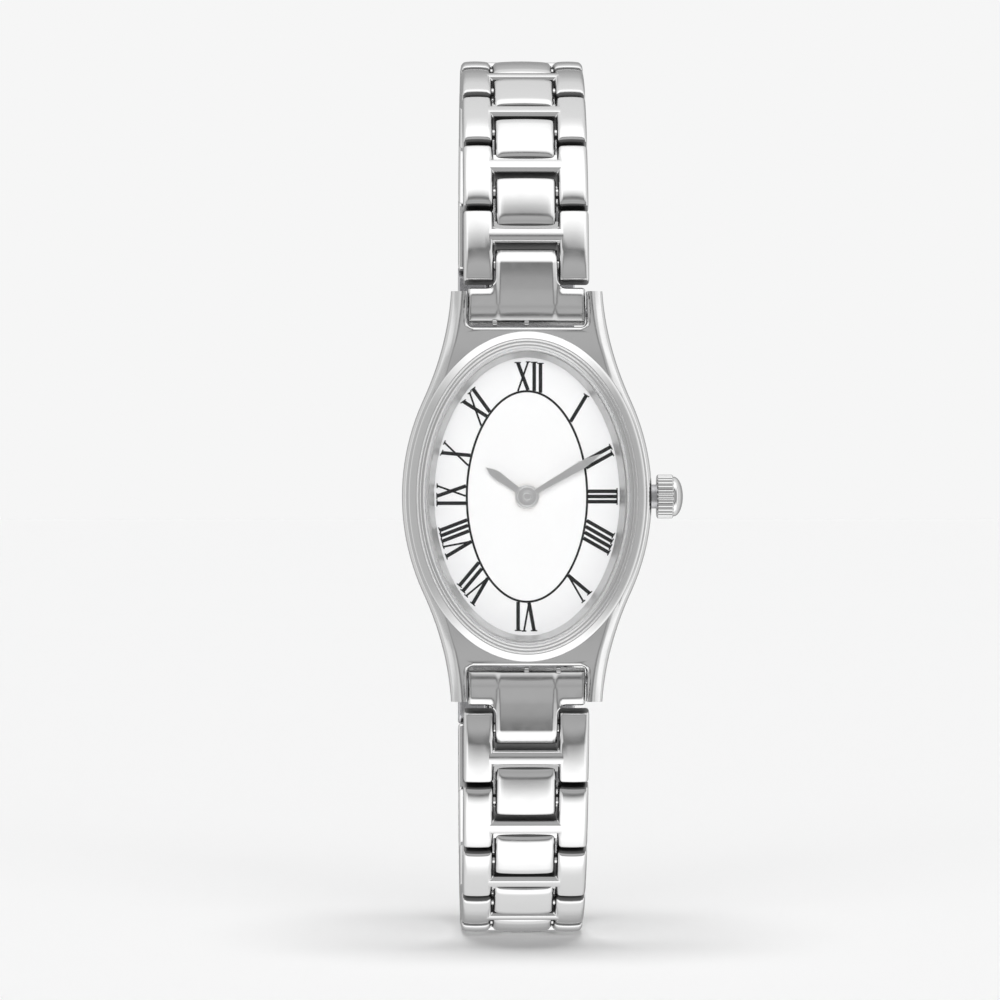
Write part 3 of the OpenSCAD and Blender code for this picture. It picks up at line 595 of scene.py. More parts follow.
def round_turn(y, z, width=TURN_ROUNDING):
    """Rounds the inner corner at y and z, which turns beside the neighbour."""
    pick("EDGE", lambda e: along_axis(e, 0) and abs(middle_of(e).y - y) < NEAR
         and abs(middle_of(e).z - z) < NEAR)
    bevel(width, 6)


def sink_rows(axis, depth, skin):
    """Lowers the points within a skin of the outer face, row by row."""
    shape_rows(axis, lambda place: (0, depth(place), 0), lambda co: co.y < skin - HALF_T)


def ear_boxes(far):
    """The corners of both ears, from the end that turns to the other."""
    return [((side * EAR_MID - EAR_HALF, -HALF_T, -EAR_REACH),
             (side * EAR_MID + EAR_HALF, HALF_T, far)) for side in (-1, 1)]


inside = EAR_IN + 0.1
crossbar = (-inside, -HALF_T, BRIDGE_START), (inside, HALF_T, BRIDGE_END)
h_piece = union_of("link", [*ear_boxes(EAR_FAR), crossbar])
round_turn(HALF_T, -EAR_REACH)
bevel_sharp(ROUNDING, 4)
slice_at(2, EAR_ROWS)
slice_at(0, [side * (EAR_MID + step) for side in (-1, 1) for step in EAR_COLUMNS])
sink_rows(2, lambda z: along_ear(z, EAR_FAR), EAR_SKIN)
sink_rows(0, across_ear, EAR_SKIN + FALLEN)
for side in (-1, 1):
    hole = begin("cylinder", "pin hole", vertices=32, radius=PIN_D / 2 + 0.04, depth=0.5,
                 location=(side * LINK_W / 2, 0, 0), rotation=SIDEWAYS)
    combine(h_piece, hole)
print("ears and crossbar:", len(h_piece.data.vertices), "points")

# %% [markdown]
# The tongue reaches on between the next link's ears. It is a pillow too, whose sides and ends
# fall away over half a millimetre or more. A lower neck joins it to the crossbar, and the pin is
# a turned rod whose ends lie in the ears. The faces inside the joints stay rough, as no wheel
# reaches them, and their steel is painted dark grey as the shade in the gaps between the links.

# %% The tongue and the whole link
TONGUE_ROWS = (0.45, 0.65, 0.85, 1.1, 1.7, 2.3, 2.9)
TONGUE_COLUMNS = (-2.05, -1.8, -1.4, -0.7, 0, 0.7, 1.4, 1.8, 2.05)
TONGUE_R, TONGUE_SKIN = 26, 0.5
NEAR_ROLL, FAR_ROLL, SIDE_ROLL = 0.85, 0.8, 1.85
NEAR_FALL, FAR_FALL, SIDE_FALL = 0.28, 0.16, 0.16
FACING = 0.8


def tongue(start, pin):
    half, end, back = TONGUE_W / 2 - TONGUE_ROOM, pin + TONGUE_REACH - TONGUE_ROOM, HALF_T - 0.05
    piece = block("tongue", (-half, -HALF_T + 0.02, start), (half, back, end))
    round_turn(back, end)
    bevel_sharp(ROUNDING, 4)
    slice_at(2, [*(start + step for step in TONGUE_ROWS), end - 0.9, end - 0.5])
    slice_at(0, TONGUE_COLUMNS)

    def along(z):
        near = NEAR_FALL * past(-z, -start - NEAR_ROLL, -start) ** 2
        far = FAR_FALL * past(z, end - FAR_ROLL, end) ** 2
        return sag(z - (start + end) / 2, DOME_R) + near + far + arch(z)

    def across(x):
        return sag(x, TONGUE_R) + SIDE_FALL * past(abs(x), SIDE_ROLL, TONGUE_W / 2) ** 2

    sink_rows(2, along, TONGUE_SKIN)
    sink_rows(0, across, TONGUE_SKIN + FALLEN)
    return piece


def rod(name, radius, half, x=0, y=0, z=0):
    """A rod along X with rounded ends."""
    piece = begin("cylinder", name, vertices=40, radius=radius, depth=2 * half,
                  location=(x, y, z), rotation=SIDEWAYS)
    pick("EDGE", lambda e: abs(abs(middle_of(e).x - x) - half) < 0.001)
    bevel(0.08, 3)
    return piece


def unpolished_and_shaded(centre, normal):
    """The faces inside the joints: no polishing wheel reaches them, and they get painted shade."""
    x, y, z = centre
    inner_side = abs(normal.x) > FACING and abs(x) < EAR_IN + 0.1
    near_end = normal.z < -0.75 and (z < -EAR_REACH + 0.3 or z > BRIDGE_END)
    far_end = normal.z > FACING and z > EAR_FAR - 0.1
    middle = abs(x) < LINK_W / 2 - 0.3 and abs(y) < 0.75
    inside = middle and abs(normal.x) < FACING and normal.y > -0.4
    return inner_side or near_end or far_end or inside


neck_half = EAR_IN - 0.04
neck = block("neck", (-neck_half, -HALF_T + 0.5, BRIDGE_END - 0.3),
             (neck_half, HALF_T - 0.13, BRIDGE_END + 0.6))
link_pin = rod("link pin", PIN_D / 2, LINK_W / 2 - 0.12)
master_link = joined("link", [h_piece, neck, tongue(BRIDGE_END + 0.14, PITCH), link_pin])
outwards(master_link)
smooth(master_link, 40)
# The faces inside the joints get the dark steel that paints their shade.
dress(master_link, link_steel, shaded_joint_steel, unpolished_and_shaded)
print("a link has", len(master_link.data.polygons), "faces")

# %% [markdown]
# The finished link is copied eighteen times. Each copy has its own mesh and rides on its own body.

# %% Copy the links round the loop
for half in ("upper", "lower"):
    for i in range(1, LINKS + 1):
        link = master_link.copy()
        link.data = master_link.data.copy()
        link.name = link.data.name = f"{half}_h_link_{i}"
        bpy.context.scene.collection.objects.link(link)
        seat(link, link_place(i, half), f"{half}_{i}", [f"{half}_link_{i}"])
bpy.data.objects.remove(master_link)
print("links:", 2 * LINKS)

# %% [markdown]
# The end link fills the gap between the lugs. It is T-shaped: shoulders about the spring bar, and
# a raised middle that narrows into the tongue. Its inner corners are wide curves, and a flat
# facet is filed along the edge beside the case. The middle's rise depends on both directions at
# once, so it is pressed in point by point after the rows are cut.

# %% The end links
END_W, END_LOW = 4.9, -0.85
END_FAR = END_PITCH - EAR_REACH - 0.5
END_BACK = HALF_T - 0.1
END_TIP = END_PITCH + TONGUE_REACH
END_R, END_CREST = 26, 1.6
CORNER = 0.75
SHOULDER, RISE_OUT, RISE_IN = 0.17, 2.65, 2.1
FACET, FACET_SLOPE = -0.05, 0.83
FAR_ROWS = [END_FAR - step for step in (0.85, 0.65, 0.45, 0.25)]
TIP_ROWS = [END_TIP - step for step in (1.25, 1.0, 0.75, 0.5)]
END_COLUMNS = (1.2, 2.1, 2.25, 2.375, 2.5, 2.65, 2.8, 3.0, 3.8, 4.6)
KNUCKLE_XS = (-2.66, 0)


def end_fall(x, z):
    """How far the outer face lies below its crest."""
    side = min(1.0, past(x, RISE_IN, RISE_OUT))
    shoulder = SHOULDER * side * side * (3 - 2 * side)
    facet = FACET_SLOPE * max(0.0, FACET - z, x - END_W + 0.3)
    beside = 0.32 * past(z, END_FAR - 0.85, END_FAR) ** 2 if x > TONGUE_W / 2 + 0.3 else 0
    last = 0.5 * past(z, END_TIP - 1.25, END_TIP) ** 1.5
    return sag(z - END_CREST, END_R) + shoulder + facet + beside + last


def end_link(name):
    piece = union_of(name, [((-END_W, -HALF_T, END_LOW), (END_W, END_BACK, END_FAR)),
                            ((-TONGUE_W / 2, -HALF_T, 0), (TONGUE_W / 2, END_BACK, END_TIP))])
    round_turn(END_BACK, END_TIP, 0.9)
    pick("EDGE", lambda e: along_axis(e, 1) and abs(abs(middle_of(e).x) - TONGUE_W / 2) < NEAR
         and abs(middle_of(e).z - END_FAR) < NEAR)
    bevel(CORNER, 6)
    bevel_sharp(0.16, 3)
    slice_at(2, [FACET, 0.5, *FAR_ROWS, 2.7, 3.4, 4.0, *TIP_ROWS])
    slice_at(0, [*(side * step for side in (-1, 1) for step in END_COLUMNS), 0])
    mesh = bmesh.from_edit_mesh(piece.data)
    for v in mesh.verts:
        if v.co.y <= -HALF_T + TONGUE_SKIN:
            v.co.y += end_fall(abs(v.co.x), v.co.z)
    bmesh.update_edit_mesh(piece.data)
    sleeve = rod("sleeve", 0.62, END_W - 0.02)
    knuckles = [rod("knuckle", 0.3, 0.2, x, -0.15, -0.91) for x in KNUCKLE_XS]
    return joined(name, [piece, sleeve, *knuckles])


for half in ("upper", "lower"):
    piece = end_link(f"{half}_end_piece")
    complete(piece, 40, link_steel, f"{half}_end_link", link_place(0, half),
             f"{half}_end")
    print(piece.name, "has", len(piece.data.polygons), "faces")

# %% [markdown]
# The case is milled from a solid bar. Seen from the front its sides bulge and then flare out to
# the lugs, and seen from the side its top falls towards the lug tips. The head is modelled lying
# on its back: x to the crown, y to 12 o'clock and z out of the dial.

# %% The case's outline
CASE_W, TIP_W, SIDE_R, LUG_GAP, BODY_L = 20.8, 12.6, 19.2, 10.0, 28.2
CASE_TOP, CASE_BOTTOM, LUG_DROP, DROP_Y = 4.7, 0.5, 1.15, 12.0
BEZEL_W, BEZEL_L = 19.8, 27.5
TANGENT_Y = 8
FLANK, CREASE, FLANK_SLOPE = 1.8, 0.8, 0.52


def half_width(y):
    """Half the width of the case at a distance from its middle: an arc, then a flare."""
    def arc(v):
        return CASE_W / 2 - SIDE_R + sqrt(SIDE_R**2 - v * v)
    u = abs(y)
    if u <= TANGENT_Y:
        return arc(u)
    slope = -TANGENT_Y / sqrt(SIDE_R**2 - TANGENT_Y**2)
    run = CASE_L / 2 - TANGENT_Y
    bend = (TIP_W / 2 - arc(TANGENT_Y) - slope * run) / run**2
    return arc(TANGENT_Y) + slope * (u - TANGENT_Y) + bend * (u - TANGENT_Y) ** 2


def top_drop(y):
    """How far the top has fallen at a distance from the middle, towards the lug tips."""
    return LUG_DROP * past(abs(y), DROP_Y, CASE_L / 2) ** 1.25


def flank(inside):
    """How far the top falls at a distance from the side: level, a soft crease, a steady slope."""
    u = max(0.0, FLANK - inside)
    return FLANK_SLOPE * (u * u / (2 * CREASE) if u < CREASE else u - CREASE / 2)


print("half widths:", [round(half_width(y), 2) for y in (0, 8, 14, 17)])

# %% [markdown]
# A long block is cut into rows, its long edges are rounded first, and each row is then stretched
# to the case's width there. The lug gaps and the bezel's seat are cut out last, and the sharp
# edges that they leave are softened.

# %% The case
FLANK_COLUMNS = (0.7, 1.0, 1.2, 1.4, 1.6, 1.8, 2.0)
OVER, UNDER = 8, -1


def bezel_oval(inset):
    return BEZEL_W / 2 - inset, BEZEL_L / 2 - inset


def oval(name, inset, z0, z1):
    """A plate with the bezel's outline, drawn in by an inset."""
    return begin("cylinder", name, vertices=144, radius=1, depth=z1 - z0,
                 location=(0, 0, (z0 + z1) / 2), scale=(*bezel_oval(inset), 1))


w, e, deep = CASE_W / 2, CASE_L / 2, CASE_TOP - CASE_BOTTOM
body = block("tonneau_case", (-w, -e, CASE_BOTTOM), (w, e, CASE_TOP))
cut_rows(1, 47)
pick("EDGE", lambda d: along_axis(d, 1) and middle_of(d).z < CASE_BOTTOM + NEAR)
bevel(1.3, 6, 0.55)
pick("EDGE", lambda d: along_axis(d, 1) and middle_of(d).z > CASE_TOP - NEAR)
bevel(0.42, 5)
slice_at(0, [side * (w - step) for side in (-1, 1) for step in FLANK_COLUMNS])
shape_rows(0, lambda x: (0, 0, -flank(w - abs(x))), lambda co: co.z > CASE_TOP - 0.6)
stretch_rows(1, lambda y: (half_width(y) / w, 1, 1 - top_drop(y) / deep), (0, 0, CASE_BOTTOM))
for side in (-1, 1):
    y0, y1 = sorted((side * BODY_L / 2, side * (e + 1)))
    gap = block("lug gap", (-LUG_GAP / 2, y0, UNDER), (LUG_GAP / 2, y1, OVER - 1))
    pick("EDGE", lambda d: along_axis(d, 2) and abs(middle_of(d).y) < BODY_L / 2 + 0.1)
    bevel(0.55, 8)
    combine(body, gap)
combine(body, oval("seat", -0.03, CASE_TOP - 0.3, OVER))
combine(body, oval("shaft", 1.6, UNDER, OVER))
combine(body, oval("cavity", 1.35, UNDER, 3.75))


def on_gap_rim(edge):
    """The sharp edges round the lug gaps, on the outer side of the case."""
    x, y, z = middle_of(edge)
    if z < 2.7 or abs(y) < BODY_L / 2 - 0.02 or abs(x) > LUG_GAP / 2 + 0.02:
        return False
    return not along_axis(edge, 2) and edge.calc_face_angle(0) > radians(60)


open_up(body)
pick("EDGE", on_gap_rim)
bevel(0.28, 2)
modify(body, "BEVEL", width=0.16, segments=3, limit_method="ANGLE", angle_limit=radians(42))
complete(body, 35, case_steel, "case_middle")
print("the case has", len(body.data.polygons), "faces")

# %% [markdown]
# The bezel, the flange and the dial's line are rings of even width round an oval. A round ring
# that is scaled would be wider at its ends, so each is grown inwards from a filled oval with the
# inset operator. Each step gives how far in and how far up to go. The last face is removed and
# the two open edges are bridged, which closes the ring below.

# %% Oval rings


def oval_ring(name, half, z0, z1, steps):
    """A ring inside an oval with these half sizes. Its outer wall reaches from z0 to z1."""
    ring = begin("circle", name, vertices=180, radius=1, fill_type="NGON", location=(0, 0, z0))
    bpy.ops.mesh.select_all(action="SELECT")
    bpy.ops.transform.resize(value=(*half, 1), center_override=(0, 0, 0))
    bpy.ops.mesh.normals_make_consistent(inside=False)
    if bmesh.from_edit_mesh(ring.data).faces[:][0].normal.z < 0:
        bpy.ops.mesh.flip_normals()
    bpy.ops.mesh.extrude_region_move(TRANSFORM_OT_translate={"value": (0, 0, z1 - z0)})
    height = z1
    for width, rise in steps:
        step_in(width, rise)
        height += rise
    step_in(0.004, z0 - height)
    pick("FACE", lambda f: len(f.verts) > 4)
    bpy.ops.mesh.delete(type="ONLY_FACE")
    pick("EDGE", lambda e: len(e.link_faces) == 1)
    bpy.ops.mesh.bridge_edge_loops()
    return ring


DOME = [(0.01, 0.2), (0.02, 0.1), (0.04, 0.08), (0.05, 0.05), (0.17, 0.105), (0.17, 0.1),
        (0.17, 0.1), (0.08, 0), (0.13, -0.1), (0.01, -0.12), (0.08, 0)]
BEAD = [(0.01, 0.1), (0.04, 0.01), (0.14, -0.11)]
INNER_WALL = [(0.004, -0.42), (0.1, -0.01), (0.12, -0.12)]
bezel_steps = [*DOME, *BEAD, (0.08, -0.01), *BEAD, *INNER_WALL]
bezel = oval_ring("oval_bezel", bezel_oval(0), 4.42, 4.95, bezel_steps)
complete(bezel, 27, bezel_steel, "bezel")

flange = oval_ring("sloping_flange", bezel_oval(1.64), 3.73, 4.96, [(0.08, 0), (0.46, -1.12)])
complete(flange, 30, flange_metal, "dial_flange")
print("the bezel has", len(bezel.data.polygons), "faces")

# %% [markdown]
# The crystal is a flat oval pane with a ground bevel and a face that rises a tenth of a
# millimetre. Its gasket is a thin ring that shows as a pale line between the pane and the bezel.

# %% The crystal and its gasket
PANE_LOW = 5.04
pane = oval("clear_crystal", 1.47, PANE_LOW, 5.87)
pick("FACE", lambda f: f.normal.z > 0.9)
for width, rise in ((0.2, 0.2), (1.6, 0.06), (2.0, 0.05), (2.0, 0.03)):
    step_in(width, rise)
bpy.ops.mesh.poke()
outwards(pane)
smooth(pane, 30)
dress(pane, crystal_glass, ground_glass, lambda centre, normal: abs(normal.z) < 0.9)
seat(pane, HEAD, "head", ["crystal"])

gasket = oval_ring("crystal_seal", bezel_oval(1.397), PANE_LOW, 5.44, [(0.066, 0)])
complete(gasket, 30, clear_nylon, "crystal_gasket")
print("the pane has", len(pane.data.polygons), "faces")

# %% [markdown]
# An oval line and twelve Roman hours are printed on the dial, with their feet on the line. An I
# is a thick bar, a V is a thick and a thin bar that meet below, an X crosses the two, and a short
# serif closes each head. The table gives where each hour's foot stands, which way it points and
# where its letters are, in degrees clockwise from 12 and in millimetres.

# %% The dial and its print
FACE_Z, INK_T, INK_SUNK = 3.7, 0.02, 0.004
LINE_HALF, LINE_W = (5.1, 8.85), 0.18
HOUR_HALF = (7.5, 11.2)
HOURS = [
    (0, 0, [("X", -0.34), ("I", 0.6), ("I", 1.12)]),
    (30.2, 31, [("I", 0)]),
    (61.3, 61, [("I", -0.27), ("I", 0.27)]),
    (90, 90, [("I", -0.43), ("I", 0), ("I", 0.43)]),
    (119.5, 119.7, [("I", -0.7), ("I", -0.23), ("I", 0.23), ("I", 0.7)]),
    (152.4, 140.4, [("V", 0)]),
    (180, 180, [("V", -0.17), ("I", 0.74)]),
    (211, 220, [("V", -0.74), ("I", 0.14), ("I", 0.66)]),
    (240, 249, [("V", -0.96), ("I", -0.07), ("I", 0.39), ("I", 0.84)]),
    (270, 270, [("I", -0.56), ("X", 0.46)]),
    (302, 296, [("X", 0)]),
    (331.7, 323.8, [("X", -0.19), ("I", 0.65)]),
]
THICK, THIN, SERIF_W = 0.3, 0.16, 0.1
SERIF_HALF = {THICK: 0.27, THIN: 0.2}
STROKES = {"I": [(0, 0, THICK)], "V": [(0, -0.42, THICK), (0, 0.42, THIN)],
           "X": [(0.42, -0.43, THICK), (-0.42, 0.43, THIN)]}


def on_oval(start, towards, half):
    """Where a line from start meets an oval with these half sizes."""
    a = (towards.x / half[0]) ** 2 + (towards.y / half[1]) ** 2
    b = 2 * (start.x * towards.x / half[0] ** 2 + start.y * towards.y / half[1] ** 2)
    c = (start.x / half[0]) ** 2 + (start.y / half[1]) ** 2 - 1
    return start + towards * ((-b + sqrt(b * b - 4 * a * c)) / (2 * a))


def bar_between(p, q, width):
    """A flat printed bar from p to q, added to the mesh in work."""
    line = q - p
    middle = (*((p + q) / 2), FACE_Z + INK_T / 2 - INK_SUNK)
    bpy.ops.mesh.primitive_cube_add(size=1, location=middle, scale=(line.length, width, INK_T),
                                    rotation=(0, 0, atan2(line.y, line.x)))


def bearing(angle):
    return Vector((sin(radians(angle)), cos(radians(angle))))


plate = oval("lacquered_dial", 1.39, 3.31, FACE_Z - 0.001)
pick("EDGE", lambda e: middle_of(e).z > FACE_Z - 0.1 and not along_axis(e, 2))
bevel(0.04, 2)
complete(plate, 30, lacquer, "dial")

hours = begin("cube", "printed_hours", size=0.01, location=(0, LINE_HALF[1], FACE_Z))
for foot, way, letters in HOURS:
    up, right = bearing(way), bearing(way + 90)
    base = on_oval(Vector((0, 0)), bearing(foot), LINE_HALF) - up * 3
    for letter, shift in letters:
        for low, high, width in STROKES[letter]:
            p = on_oval(base + right * (shift + low), up, LINE_HALF)
            q = on_oval(base + right * (shift + high), up, HOUR_HALF)
            bar_between(p, q, width)
            serif = right * SERIF_HALF[width]
            bar_between(q - serif, q + serif, SERIF_W)
line_z = FACE_Z - INK_SUNK
line = oval_ring("oval_line", LINE_HALF, line_z, line_z + INK_T, [(LINE_W, 0)])
outwards(line)
hours = joined("printed_hours", [hours, line])
smooth(hours, 20)
dress(hours, ink)
hours.data.transform(Matrix.Scale(MM, 4) @ HEAD)
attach(hours, "head")
print("printed bars:", sum(2 * len(STROKES[c]) for _, _, letters in HOURS for c, _ in letters))

# %% [markdown]
# The hands are stamped lances: narrow at the boss, widest near the point. A flat block is cut
# into rows that are stretched to the width, and a domed boss covers its foot. The minute hand's
# boss carries the end of the arbor.

# %% The hands
HAND_T, BELLY_AT, TIP_HALF = 0.14, 0.72, 0.03
MINUTE_TURN, HOUR_TURN = -60, 55


def hand(name, length, waist, belly, boss_r, z):
    blade = block(name, (-0.5, 0, z), (0.5, length, z + HAND_T))
    cut_rows(1, 24)

    def width(y):
        f = y / length
        if f < BELLY_AT:
            return waist + (belly - waist) * f / BELLY_AT
        return max(TIP_HALF, belly * (1 - ((f - BELLY_AT) / (1 - BELLY_AT)) ** 1.6))

    stretch_rows(1, lambda y: (width(y), 1, 1))
    bevel_sharp(0.03, 2, 60)
    boss = begin("cylinder", "boss", vertices=64, radius=boss_r, depth=HAND_T + 0.04,
                 location=(0, 0, z + HAND_T / 2 + 0.01))
    pick("EDGE", lambda e: middle_of(e).z > z + HAND_T and not along_axis(e, 2))
    bevel(0.13, 5)
    return joined(name, [blade, boss])


minute = hand("minute_lance", 7.06, 0.34, 0.7, 0.85, 4.42)
arbor = begin("cylinder", "arbor", vertices=48, radius=0.5, depth=0.3, location=(0, 0, 4.5))
pick("FACE", lambda f: f.normal.z > 0.9)
for width, rise in ((0.06, 0.03), (0.12, 0.02), (0.05, -0.04), (0.1, 0), (0.02, 0.02)):
    step_in(width, rise)
minute = joined("minute_lance", [minute, arbor])
place = HEAD @ turn(MINUTE_TURN, "Z")
complete(minute, 30, hand_metal, "minute_hand", place, "minute_arbor")

hour = hand("hour_lance", 4.2, 0.4, 0.74, 1.0, 4.06)
place = HEAD @ turn(HOUR_TURN, "Z")
complete(hour, 30, hand_metal, "hour_hand", place, "hour_pipe")
print("the hands point to", -MINUTE_TURN, "and", -HOUR_TURN, "degrees")

# %% [markdown]
# The crown is turned from a bar and milled with flutes that give a grip. The cylinder has eight
# points to a flute, and those in the hollows are drawn in. The end is stepped into a low dome.

# %% The crown
FLUTES, FLUTE_POINTS, CROWN_R, BARREL = 28, 8, 1.825, 1.38
CHAMFER_IN, CHAMFER_UP = 0.12, 0.1
HOLLOWS = (((4,), 0.945), ((3, 5), 0.97), ((2, 6), 0.99))
CAP_R, CAP_H = 1.66, 0.78
crown_x, crown_z = CASE_W / 2 + 0.44, 2.35


def flute_point(co):
    """Which of a flute's eight points this is. Point 4 lies deepest."""
    return round(atan2(co.y, co.x) * FLUTES * FLUTE_POINTS / (2 * pi)) % FLUTE_POINTS


crown = begin("cylinder", "fluted_crown", vertices=FLUTES * FLUTE_POINTS, radius=CROWN_R,
              depth=BARREL - 2 * CHAMFER_UP, location=(0, 0, BARREL / 2))
for side in (1, -1):
    pick("FACE", lambda f: f.normal.z * side > 0.9)
    step_in(CHAMFER_IN, CHAMFER_UP)
for points, factor in HOLLOWS:
    pick("VERT", lambda v: hypot(v.co.x, v.co.y) > 1.65 and flute_point(v.co) in points)
    bpy.ops.transform.resize(value=(factor, factor, 1), center_override=(0, 0, 0))
turns = [radians(a) for a in (0, 12, 24, 36, 48, 60, 72, 82)]
dome = [(CAP_R * cos(a), CAP_H * sin(a)) for a in turns]
cap = begin("cylinder", "cap", vertices=96, radius=CAP_R, depth=0.3,
            location=(0, 0, BARREL - 0.11))
pick("FACE", lambda f: f.normal.z > 0.9)
for (r0, h0), (r1, h1) in zip(dome, dome[1:]):
    step_in(r0 - r1, h1 - h0)
crown = joined("fluted_crown", [crown, cap])
axis = HEAD @ Matrix.Translation((crown_x, 0, crown_z)) @ turn(90, "Y")
complete(crown, 40, crown_steel, "winding_crown", axis, "crown_assembly")
print("the crown has", len(crown.data.polygons), "faces")

# %% [markdown]
# The clasp's cover is a folded steel sheet that follows the arc of the wrist, with two side walls
# and a pair of ears at its lower end. It is cut into rows, and each is turned about the arc's
# centre. Two knuckles under the sheet hold the hinge pin of the blades.

# %% The clasp's cover
COVER_T, SKIN_V, WALL_V, HINGE_V = 0.75, 2.36, 0.8, 1.55
HINGE_INSET, KNUCKLE_R, KNUCKLE_HALF, KNUCKLE_X = 3.4, 0.72, 1.6, 3.1
COVER_EAR_FAR = 2.1
c_low, c_high = -pin_c + TONGUE_REACH + 0.14, pin_c - HINGE_INSET + 1.08


def curl():
    """Turns each row of the piece in work to its place on the clasp's arc."""
    for c in rows(2):
        pick_row(2, c)
        bpy.ops.transform.translate(value=(0, 0, -c))
        bpy.ops.transform.rotate(value=-c / pivot_r, orient_axis="X", center_override=(0, 0, 0))


shell = block("cover", (-LINK_W / 2, CLASP_R + WALL_V, c_low),
              (LINK_W / 2, CLASP_R + SKIN_V + COVER_T, c_high))
inner = LINK_W / 2 - COVER_T
combine(shell, block("hollow", (-inner, CLASP_R - 1, c_low - 1),
                     (inner, CLASP_R + SKIN_V + 0.04, c_high + 1)))
open_up(shell)
bevel_sharp(0.24, 4)
cut_rows(2, 23)
curl()
to_hinge = Matrix.Rotation((pin_c - HINGE_INSET) / pivot_r, 4, "X")
for side in (-1, 1):
    barrel = rod("knuckle", KNUCKLE_R, KNUCKLE_HALF, y=CLASP_R + HINGE_V)
    strip = block("strip", (-KNUCKLE_HALF, CLASP_R + HINGE_V, -0.5),
                  (KNUCKLE_HALF, CLASP_R + SKIN_V + 0.1, 0.5))
    knuckle = joined("knuckle", [barrel, strip])
    knuckle.data.transform(to_hinge @ Matrix.Translation((side * KNUCKLE_X, 0, 0)))
    shell = joined("cover", [shell, knuckle])
outwards(shell)
shell.data.transform(Matrix.Translation((0, CLASP_Y, 0)))

to_ears = (turn(180, "Y") @ Matrix.Translation((0, BAR_Y + last_y, BAR_Z + last_z))
           @ turn(clasp_half - 180, "X"))
for low, high in ear_boxes(COVER_EAR_FAR):
    ear = block("cover ear", low, high)
    round_turn(HALF_T, -EAR_REACH)
    bevel_sharp(ROUNDING, 4)
    slice_at(2, [*TURN_ROWS, 0, 0.6, 1.2])
    sink_rows(2, lambda z: along_ear(z, COVER_EAR_FAR), EAR_SKIN)
    to_mode("OBJECT")
    ear.data.transform(to_ears)
    shell = joined("clasp_cover_shell", [shell, ear])
complete(shell, 35, clasp_steel, "clasp_cover", Matrix.Identity(4), "clasp_outer")
print("the cover has", len(shell.data.polygons), "faces")

# %% [markdown]
# The pieces inside the case and the blades of the clasp have the right shapes already, so their
# CAD meshes stay. Each gets the finish of what it is made of.

# %% Finishes of the CAD nodes
FINISHES = {
    part_steel: ["case_back", "train_bridge", "battery_clamp", "stator", "rotor", "crown_stem",
                 "crown_tube", "setting_lever", "upper_spring_bar", "lower_spring_bar",
                 "clasp_spring_bar", "clasp_end_pin", "clasp_lower_hinge_pin",
                 "clasp_upper_hinge_pin"],
    clasp_steel: ["clasp_inner_blade", "clasp_middle_blade"],
    cell_steel: ["battery"],
    gilt_brass: ["main_plate"],
    wheel_brass: ["intermediate_wheel", "centre_wheel", "minute_wheel", "hour_wheel"],
    wire: ["motor_coil"],
    board: ["circuit_board"],
    acetal: ["movement_ring"],
    rubber: ["back_gasket", "crown_gasket"],
}
for material, names in FINISHES.items():
    for name in names:
        dress(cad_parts[name], material)
print("finished nodes:", sum(len(names) for names in FINISHES.values()))

# %% [markdown]
# The watch stands on a plain pale floor, a large plane just below its lowest point. The floor
# takes the watch's shadow but stays out of its reflections.

# %% Floor
PALE = "#F6F6F6"
FLOOR_SIZE, FLOOR_GAP = 20, 0.00002
low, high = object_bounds()
card, tree, shader = finish("matt pale card", Base_Color=colour(PALE), Roughness=0.9,
                            Specular_IOR_Level=0.0)
choose()
bpy.ops.mesh.primitive_plane_add(size=FLOOR_SIZE, location=(0, 0, low.z - FLOOR_GAP))
floor = bpy.context.object
floor.name = "floor"
floor.data.materials.append(card)
floor.visible_glossy = False
print("floor at", round(floor.location.z / MM, 2), "mm")

# %% [markdown]
# Polished steel shows only what is around it, so the room matters more than the lamps. The tent
# is a sphere of cloth round the watch, seen in reflections alone. Its glow depends on the angle
# from the front: middle grey at the camera's opening, then a thin dark band, then the lit walls,
# and dim behind. Above and below, the walls are brighter than at the sides. Each curve is a
# colour ramp.

# %% The light tent
GLOW, TENT_R = 1.6, 0.45
ABOVE = [(0, 0.5), (28, 0.57), (34, 0.48), (41, 0.13), (46, 0.62), (51, 1.1), (56, 1.5), (88, 1.5),
         (102, 1.0), (126, 0.9), (150, 0.4), (180, 0.35)]
LEFT = [(0, 0.5), (36, 0.52), (43, 0.34), (50, 0.58), (71, 0.63), (75, 1.1), (80, 1.1), (90, 0.65),
        (100, 0.9), (125, 0.7), (145, 0.4), (180, 0.35)]
RIGHT = [(0, 0.5), (36, 0.5), (43, 0.25), (50, 0.55), (62, 0.56), (74, 1.4), (80, 1.3), (90, 0.7),
         (100, 1.0), (125, 0.7), (145, 0.4), (180, 0.35)]


def glow_ramp(tree, angle, stops):
    """Brightness by the angle from the front, from (degrees, glow) pairs."""
    ramp = add(tree, "ShaderNodeValToRGB", Fac=angle)
    elements = ramp.color_ramp.elements
    for k, (turned, glow) in enumerate(stops):
        stop = elements[k] if k < 2 else elements.new(turned / 180)
        stop.position, stop.color = turned / 180, (*[glow / GLOW] * 3, 1)
    return ramp, "Color"


def blend_from(tree, value, start, end):
    """0 up to the start, 1 from the end on, and smooth between them."""
    return add(tree, "ShaderNodeMapRange", {"interpolation_type": "SMOOTHSTEP"}, Value=value,
               From_Min=start, From_Max=end), "Result"


